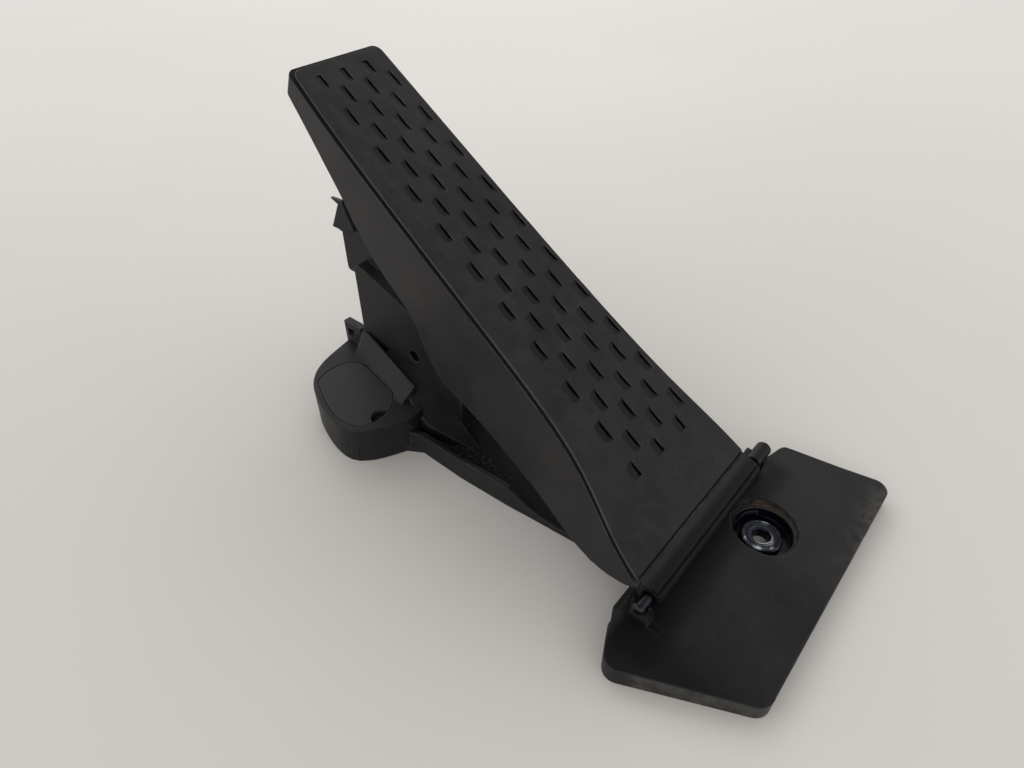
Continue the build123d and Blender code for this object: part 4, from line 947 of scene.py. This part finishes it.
def tread_skin(shell, material):
    """The tread's face with its woven relief, fitted into the hole of the treadle's shell."""
    span, s_low, s_high = hole_edges(shell)
    rows = [s_low - SKIN_LAP, *np.arange(s_low + SKIN_LAP, s_high, ROW_STEP), s_high + SKIN_LAP]
    for line in (SLIT_TOP + FIELD_END, SLIT_LOW - FIELD_END):
        rows += [line - ROW_PAIR, line + ROW_PAIR]
    rows.sort()
    lines = column_lines()
    margin = np.linspace(0.0, 1.0, MARGIN_STEPS, endpoint=False)
    verts, marks = [], []
    for s in rows:
        left, right = span(min(max(s, s_low + TINY), s_high - TINY))
        left, right = left - SKIN_LAP, right + SKIN_LAP
        first = field_line(FAN_LEFT, s)
        gap = (field_line(FAN_RIGHT, s) - first) / (SLIT_COLUMNS - 1)
        field = [first + (line + WALL_SHIFT) * gap for line in lines]
        spots = [left + (field[0] - left) * m for m in margin] + field
        spots += [right + (field[-1] - right) * m for m in margin[::-1]]
        hem = min(max((s_low + HEM_WIDTH - s) / (0.5 * HEM_WIDTH), 0.0), 1.0)
        for x in spots:
            verts.append(tread_point(min(max(x, left), right), s, HEM_DEPTH * hem))
            marks.append(((x - first) / gap - WALL_SHIFT, s, hem))
    mesh = bpy.data.meshes.new("tread_skin")
    mesh.from_pydata(verts, [], quads(len(rows), len(verts) // len(rows), closed=False))
    for label, values in zip(("column", "run", "hem"), zip(*marks)):
        mesh.attributes.new(label, "FLOAT", "POINT").data.foreach_set("value", np.array(values, np.float32))
    made = through_tree("tread_face", mesh, weave_tree(), finish=material)
    made.shade_smooth()
    made.set_sharp_from_angle(angle=SHARP_ANGLE)
    return linked("tread_face", made)


def in_tread_top(points):
    """True for faces of the treadle's solid that the woven skin takes the place of."""
    x, s, d = tread_places(points)
    if np.all(np.abs(d) < 2.0 * TINY):
        return True
    left = field_line(FAN_LEFT, s.mean()) - FIELD_MARGIN
    right = field_line(FAN_RIGHT, s.mean()) + FIELD_MARGIN
    in_field = left < x.mean() < right and FIELD_RUN[0] < s.mean() < FIELD_RUN[1]
    return bool(in_field and d.max() < SOLID_SLIT_DEPTH)


def coil_tree():
    """Node tree of a round-wire compression spring, its axis upright."""
    labels = ("Coil Radius", "Wire Radius", "Height", "Turns", "Axis X", "Axis Y", "Foot Z")
    tree, g, given = geometry_tree("Coil Spring", "Start", [(label, 0.0) for label in labels], "Spring")
    spiral = g.node("GeometryNodeCurveSpiral")
    g.join(spiral, {"Resolution": COIL_STEPS, "Rotations": given["Turns"], "Height": given["Height"],
                    "Start Radius": given["Coil Radius"], "End Radius": given["Coil Radius"]})
    section = g.node("GeometryNodeCurvePrimitiveCircle")
    g.join(section, {"Resolution": WIRE_SIDES, "Radius": given["Wire Radius"]})
    tube = g.node("GeometryNodeCurveToMesh")
    g.join(tube, {"Curve": spiral.outputs[0], "Profile Curve": section.outputs[0], "Fill Caps": True})
    foot = g.joined(given["Axis X"], given["Axis Y"], given["Foot Z"])
    moved = g.join(g.node("GeometryNodeTransform"), {"Geometry": tube.outputs[0], "Translation": foot})
    g.close(moved.outputs[0], given["Finish"])
    return tree


def springs(material):
    """Round-wire coils in place of the two plain ones."""
    tree = coil_tree()
    for node, wire, turns, wider, slack in SPRINGS:
        low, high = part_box(node)
        middle = (low + high) / 2
        start = bpy.data.meshes.new(node + "_start")
        mesh = through_tree(node + "_coil", start, tree, coil_radius=(high.x - low.x - wire) / 2 + wider,
                            wire_radius=wire / 2, height=high.z - low.z - wire, turns=turns, axis_x=middle.x,
                            axis_y=middle.y, foot_z=low.z + wire / 2, finish=material)
        mesh.shade_smooth()
        coil = finished(linked(node + "_coil", mesh), "base", "spring_steel", node)
        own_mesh(coil)


def solid_mesh(name, verts, faces):
    """Closed mesh of points in millimetres, its faces turned outward."""
    mesh = bpy.data.meshes.new(name)
    mesh.from_pydata([Vector(p) * MM for p in verts], [], faces)
    with edited(mesh) as work:
        bmesh.ops.recalc_face_normals(work, faces=work.faces)
    return mesh


def swept_wall(name, stations, material, width):
    """A wall of the base through stations of (y, left x, right x, left top z, right top z), with its edges rounded."""
    verts = []
    for y, left, right, left_top, right_top in stations:
        verts += [(left, y, WALL_FOOT_Z), (left, y, left_top), (right, y, right_top), (right, y, WALL_FOOT_Z)]
    last = len(verts) - 4
    ends = [(3, 2, 1, 0), (last, last + 1, last + 2, last + 3)]
    mesh = solid_mesh(name, verts, quads(len(stations), 4, closed=True) + ends)
    finished(softened(linked(name, mesh, material), width), "base", "base_plastic")


def side_walls(material):
    """Front end of the base's left lip, and the gusset between the ear's ridge and the housing."""
    stations = [(y, x, x + thick, top, top) for y, x, thick, top in LIP_FRONT]
    swept_wall("lip_front", stations, material, LIP_ROUND)
    front, back = GUSSET[-1][0], GUSSET[GUSSET_TAPER][0]
    stations = []
    for y, left, left_top, right_top in GUSSET:
        share = min(max((back - y) / (back - front), 0.0), 1.0)
        stations.append((y, left, GUSSET_RIGHT + (GUSSET_TIP - GUSSET_RIGHT) * share, left_top, right_top))
    swept_wall("ear_gusset", stations, material, GUSSET_ROUND)


def nose_strips(material):
    """Two raised strips along the hinge nose, with a groove between them."""
    points = np.array([v.co for v in frame["nodes"]["treadle"].data.vertices]) / MM
    reach = np.hypot(points[:, 1] - NOSE_AXIS[0], points[:, 2] - NOSE_AXIS[1])
    on_nose = points[np.abs(reach - NOSE_R) < NOSE_NEAR, 0]
    ends = (on_nose.min() + STRIP_SHY, on_nose.max() - STRIP_SHY)
    for number, arc in enumerate(STRIP_ARCS, 1):
        turns = [math.radians(a) for a in np.linspace(*arc, STRIP_STEPS)]
        profile = [(NOSE_R + STRIP_LIFT, a) for a in turns] + [(NOSE_R - STRIP_LIFT, a) for a in reversed(turns)]
        ring = [(NOSE_AXIS[0] - r * math.sin(a), NOSE_AXIS[1] + r * math.cos(a)) for r, a in profile]
        count = len(ring)
        faces = quads(2, count, closed=True)
        for a in range(STRIP_STEPS - 1):
            b, c, d = a + 1, count - 2 - a, count - 1 - a
            faces += [(a, d, c, b), (count + a, count + b, count + c, count + d)]
        name = f"nose_strip_{number}"
        mesh = solid_mesh(name, [(x, y, z) for x in ends for y, z in ring], faces)
        finished(softened(linked(name, mesh, material), STRIP_ROUND), "pedal", "tread_plastic")


def crumb_tree():
    """Node tree that scatters soil crumbs over a bed, thicker towards the ear."""
    tree, g, given = geometry_tree("Soil Crumbs", "Bed", CRUMB_SIZES, "Crumbs")
    _, y, _ = g.split(g.node("GeometryNodeInputPosition").outputs[0])
    share = g.ramp(y, given["Thin Y"], given["Thick Y"])
    share = g.plus(g.times(share, 1.0 - CRUMB_THIN), CRUMB_THIN)
    points = g.node("GeometryNodeDistributePointsOnFaces")
    g.join(points, {"Mesh": given["Bed"], "Density": g.times(share, given["Density"]), "Seed": SPREAD_SEED})
    crumb = g.node("GeometryNodeMeshIcoSphere")
    g.join(crumb, {"Subdivisions": 2, "Radius": given["Crumb Radius"]})
    turn = g.node("FunctionNodeRandomValue", data_type="FLOAT_VECTOR")
    g.join(turn, {"Max": (CRUMB_TURN, CRUMB_TURN, CRUMB_TURN), "Seed": TURN_SEED})
    size = g.node("FunctionNodeRandomValue", data_type="FLOAT_VECTOR")
    g.join(size, {"Min": CRUMB_LEAST, "Max": CRUMB_MOST, "Seed": SIZE_SEED})
    spread = g.node("GeometryNodeInstanceOnPoints")
    g.join(spread, {"Points": points.outputs["Points"], "Instance": crumb.outputs["Mesh"],
                    "Rotation": turn.outputs["Value"], "Scale": size.outputs["Value"]})
    g.close(spread.outputs[0], given["Finish"])
    return tree


def soil_crumbs(material):
    """Crumbs of soil caught on the base's floor behind the lip."""
    bed = bpy.data.meshes.new("crumb_bed")
    corners = [Vector((x, y, CRUMB_BED_Z)) * MM for x, y in CRUMB_BED]
    bed.from_pydata(corners, [], [tuple(range(len(corners)))])
    made = through_tree("soil_crumbs", bed, crumb_tree(), finish=material)
    finished(linked("soil_crumbs", made), "base", "base_plastic")


def dress(materials):
    """Finishes every piece: softened copies of the mouldings in view, plain CAD nodes inside."""
    treadle = linked("treadle_shell", merged_copy("treadle", in_tread_top), materials["tread_plastic"])
    finished(softened(treadle, TREADLE_ROUND), "pedal", "tread_plastic", "treadle")
    finished(tread_skin(treadle.data, materials["woven"]), "pedal", "tread_plastic")
    for node, slot, look, width in MOULDINGS:
        mesh = merged_copy(node)
        if node == "base":
            mesh = eased_crease(mesh)
        piece = linked(node + "_moulding", mesh, materials[look])
        finished(softened(piece, width), "base", slot, node)
        if node == "base":
            bent_normals(piece)
    side_walls(materials["base_plastic"])
    nose_strips(materials["tread_plastic"])
    soil_crumbs(materials["crumbs"])
    springs(materials["spring_steel"])
    for part in frame["record"]["subparts"]:
        mesh = frame["nodes"][part["node"]].data
        mesh.materials.clear()
        mesh.materials.append(materials[part["material_slot"]])


def table_top():
    """Pale glossy table under the pedal."""
    made, g, shader = new_material("pale_table")
    cloud = g.noise(g.place(), TABLE_CLOUD, detail=3.0, rough=0.5)
    tone = g.mix(g.ramp(cloud, low=0.3, high=0.7), *TABLE_TONES)
    rough = g.plus(g.times(cloud, TABLE_ROUGH[1]), TABLE_ROUGH[0])
    g.join(shader, {"Base Color": tone, "Roughness": rough, "Specular IOR Level": TABLE_SHINE})
    h = TABLE_HALF
    mesh = bpy.data.meshes.new("table_top")
    mesh.from_pydata([(-h, -h, 0), (h, -h, 0), (h, h, 0), (-h, h, 0)], [], [(0, 1, 2, 3)])
    linked("table_top", mesh, made)


def window():
    """One broad soft light behind on the right."""
    light = bpy.data.lights.new("right_window", "AREA")
    light.shape = "DISK"
    light.size = WINDOW_SIZE
    light.energy = WINDOW_POWER
    light.color = WINDOW_TINT
    aimed(in_scene("right_window", light), WINDOW_AT, Vector(WINDOW_AIM) - Vector(WINDOW_AT))


def room():
    """Surroundings with bright walls, a little dimmer on the right, and a dim ceiling."""
    world = bpy.data.worlds.new("bright_walls")
    bpy.context.scene.world = world
    world.use_nodes = True
    g = Graph(world.node_tree)
    x, _, z = g.split(g.node("ShaderNodeTexCoord").outputs["Generated"])
    side = g.minus(WALL_LIGHT, g.times(g.ramp(x, *SIDE_BAND), SIDE_FALL))
    sky = world.node_tree.nodes["Background"]
    sky.inputs["Color"].default_value = (*ROOM_TINT, 1.0)
    g.feed(sky.inputs["Strength"], g.plus(g.times(g.ramp(z, *WALL_HEIGHTS), side), CEILING_LIGHT))


def camera():
    """The camera fitted to the photo."""
    data = bpy.data.cameras.new("photo_view")
    data.sensor_width = SENSOR_WIDTH
    data.lens = CAMERA_LENS
    data.clip_start = CAMERA_NEAR
    a, e = math.radians(CAMERA_AZIMUTH), math.radians(CAMERA_ELEVATION)
    back = Vector((math.sin(a) * math.cos(e), -math.cos(a) * math.cos(e), math.sin(e)))
    obj = in_scene("photo_view", data)
    aimed(obj, CAMERA_AT, -back)
    bpy.context.scene.camera = obj


bpy.context.scene.view_settings.view_transform = "Standard"
dress(make_materials())
table_top()
window()
room()
camera()
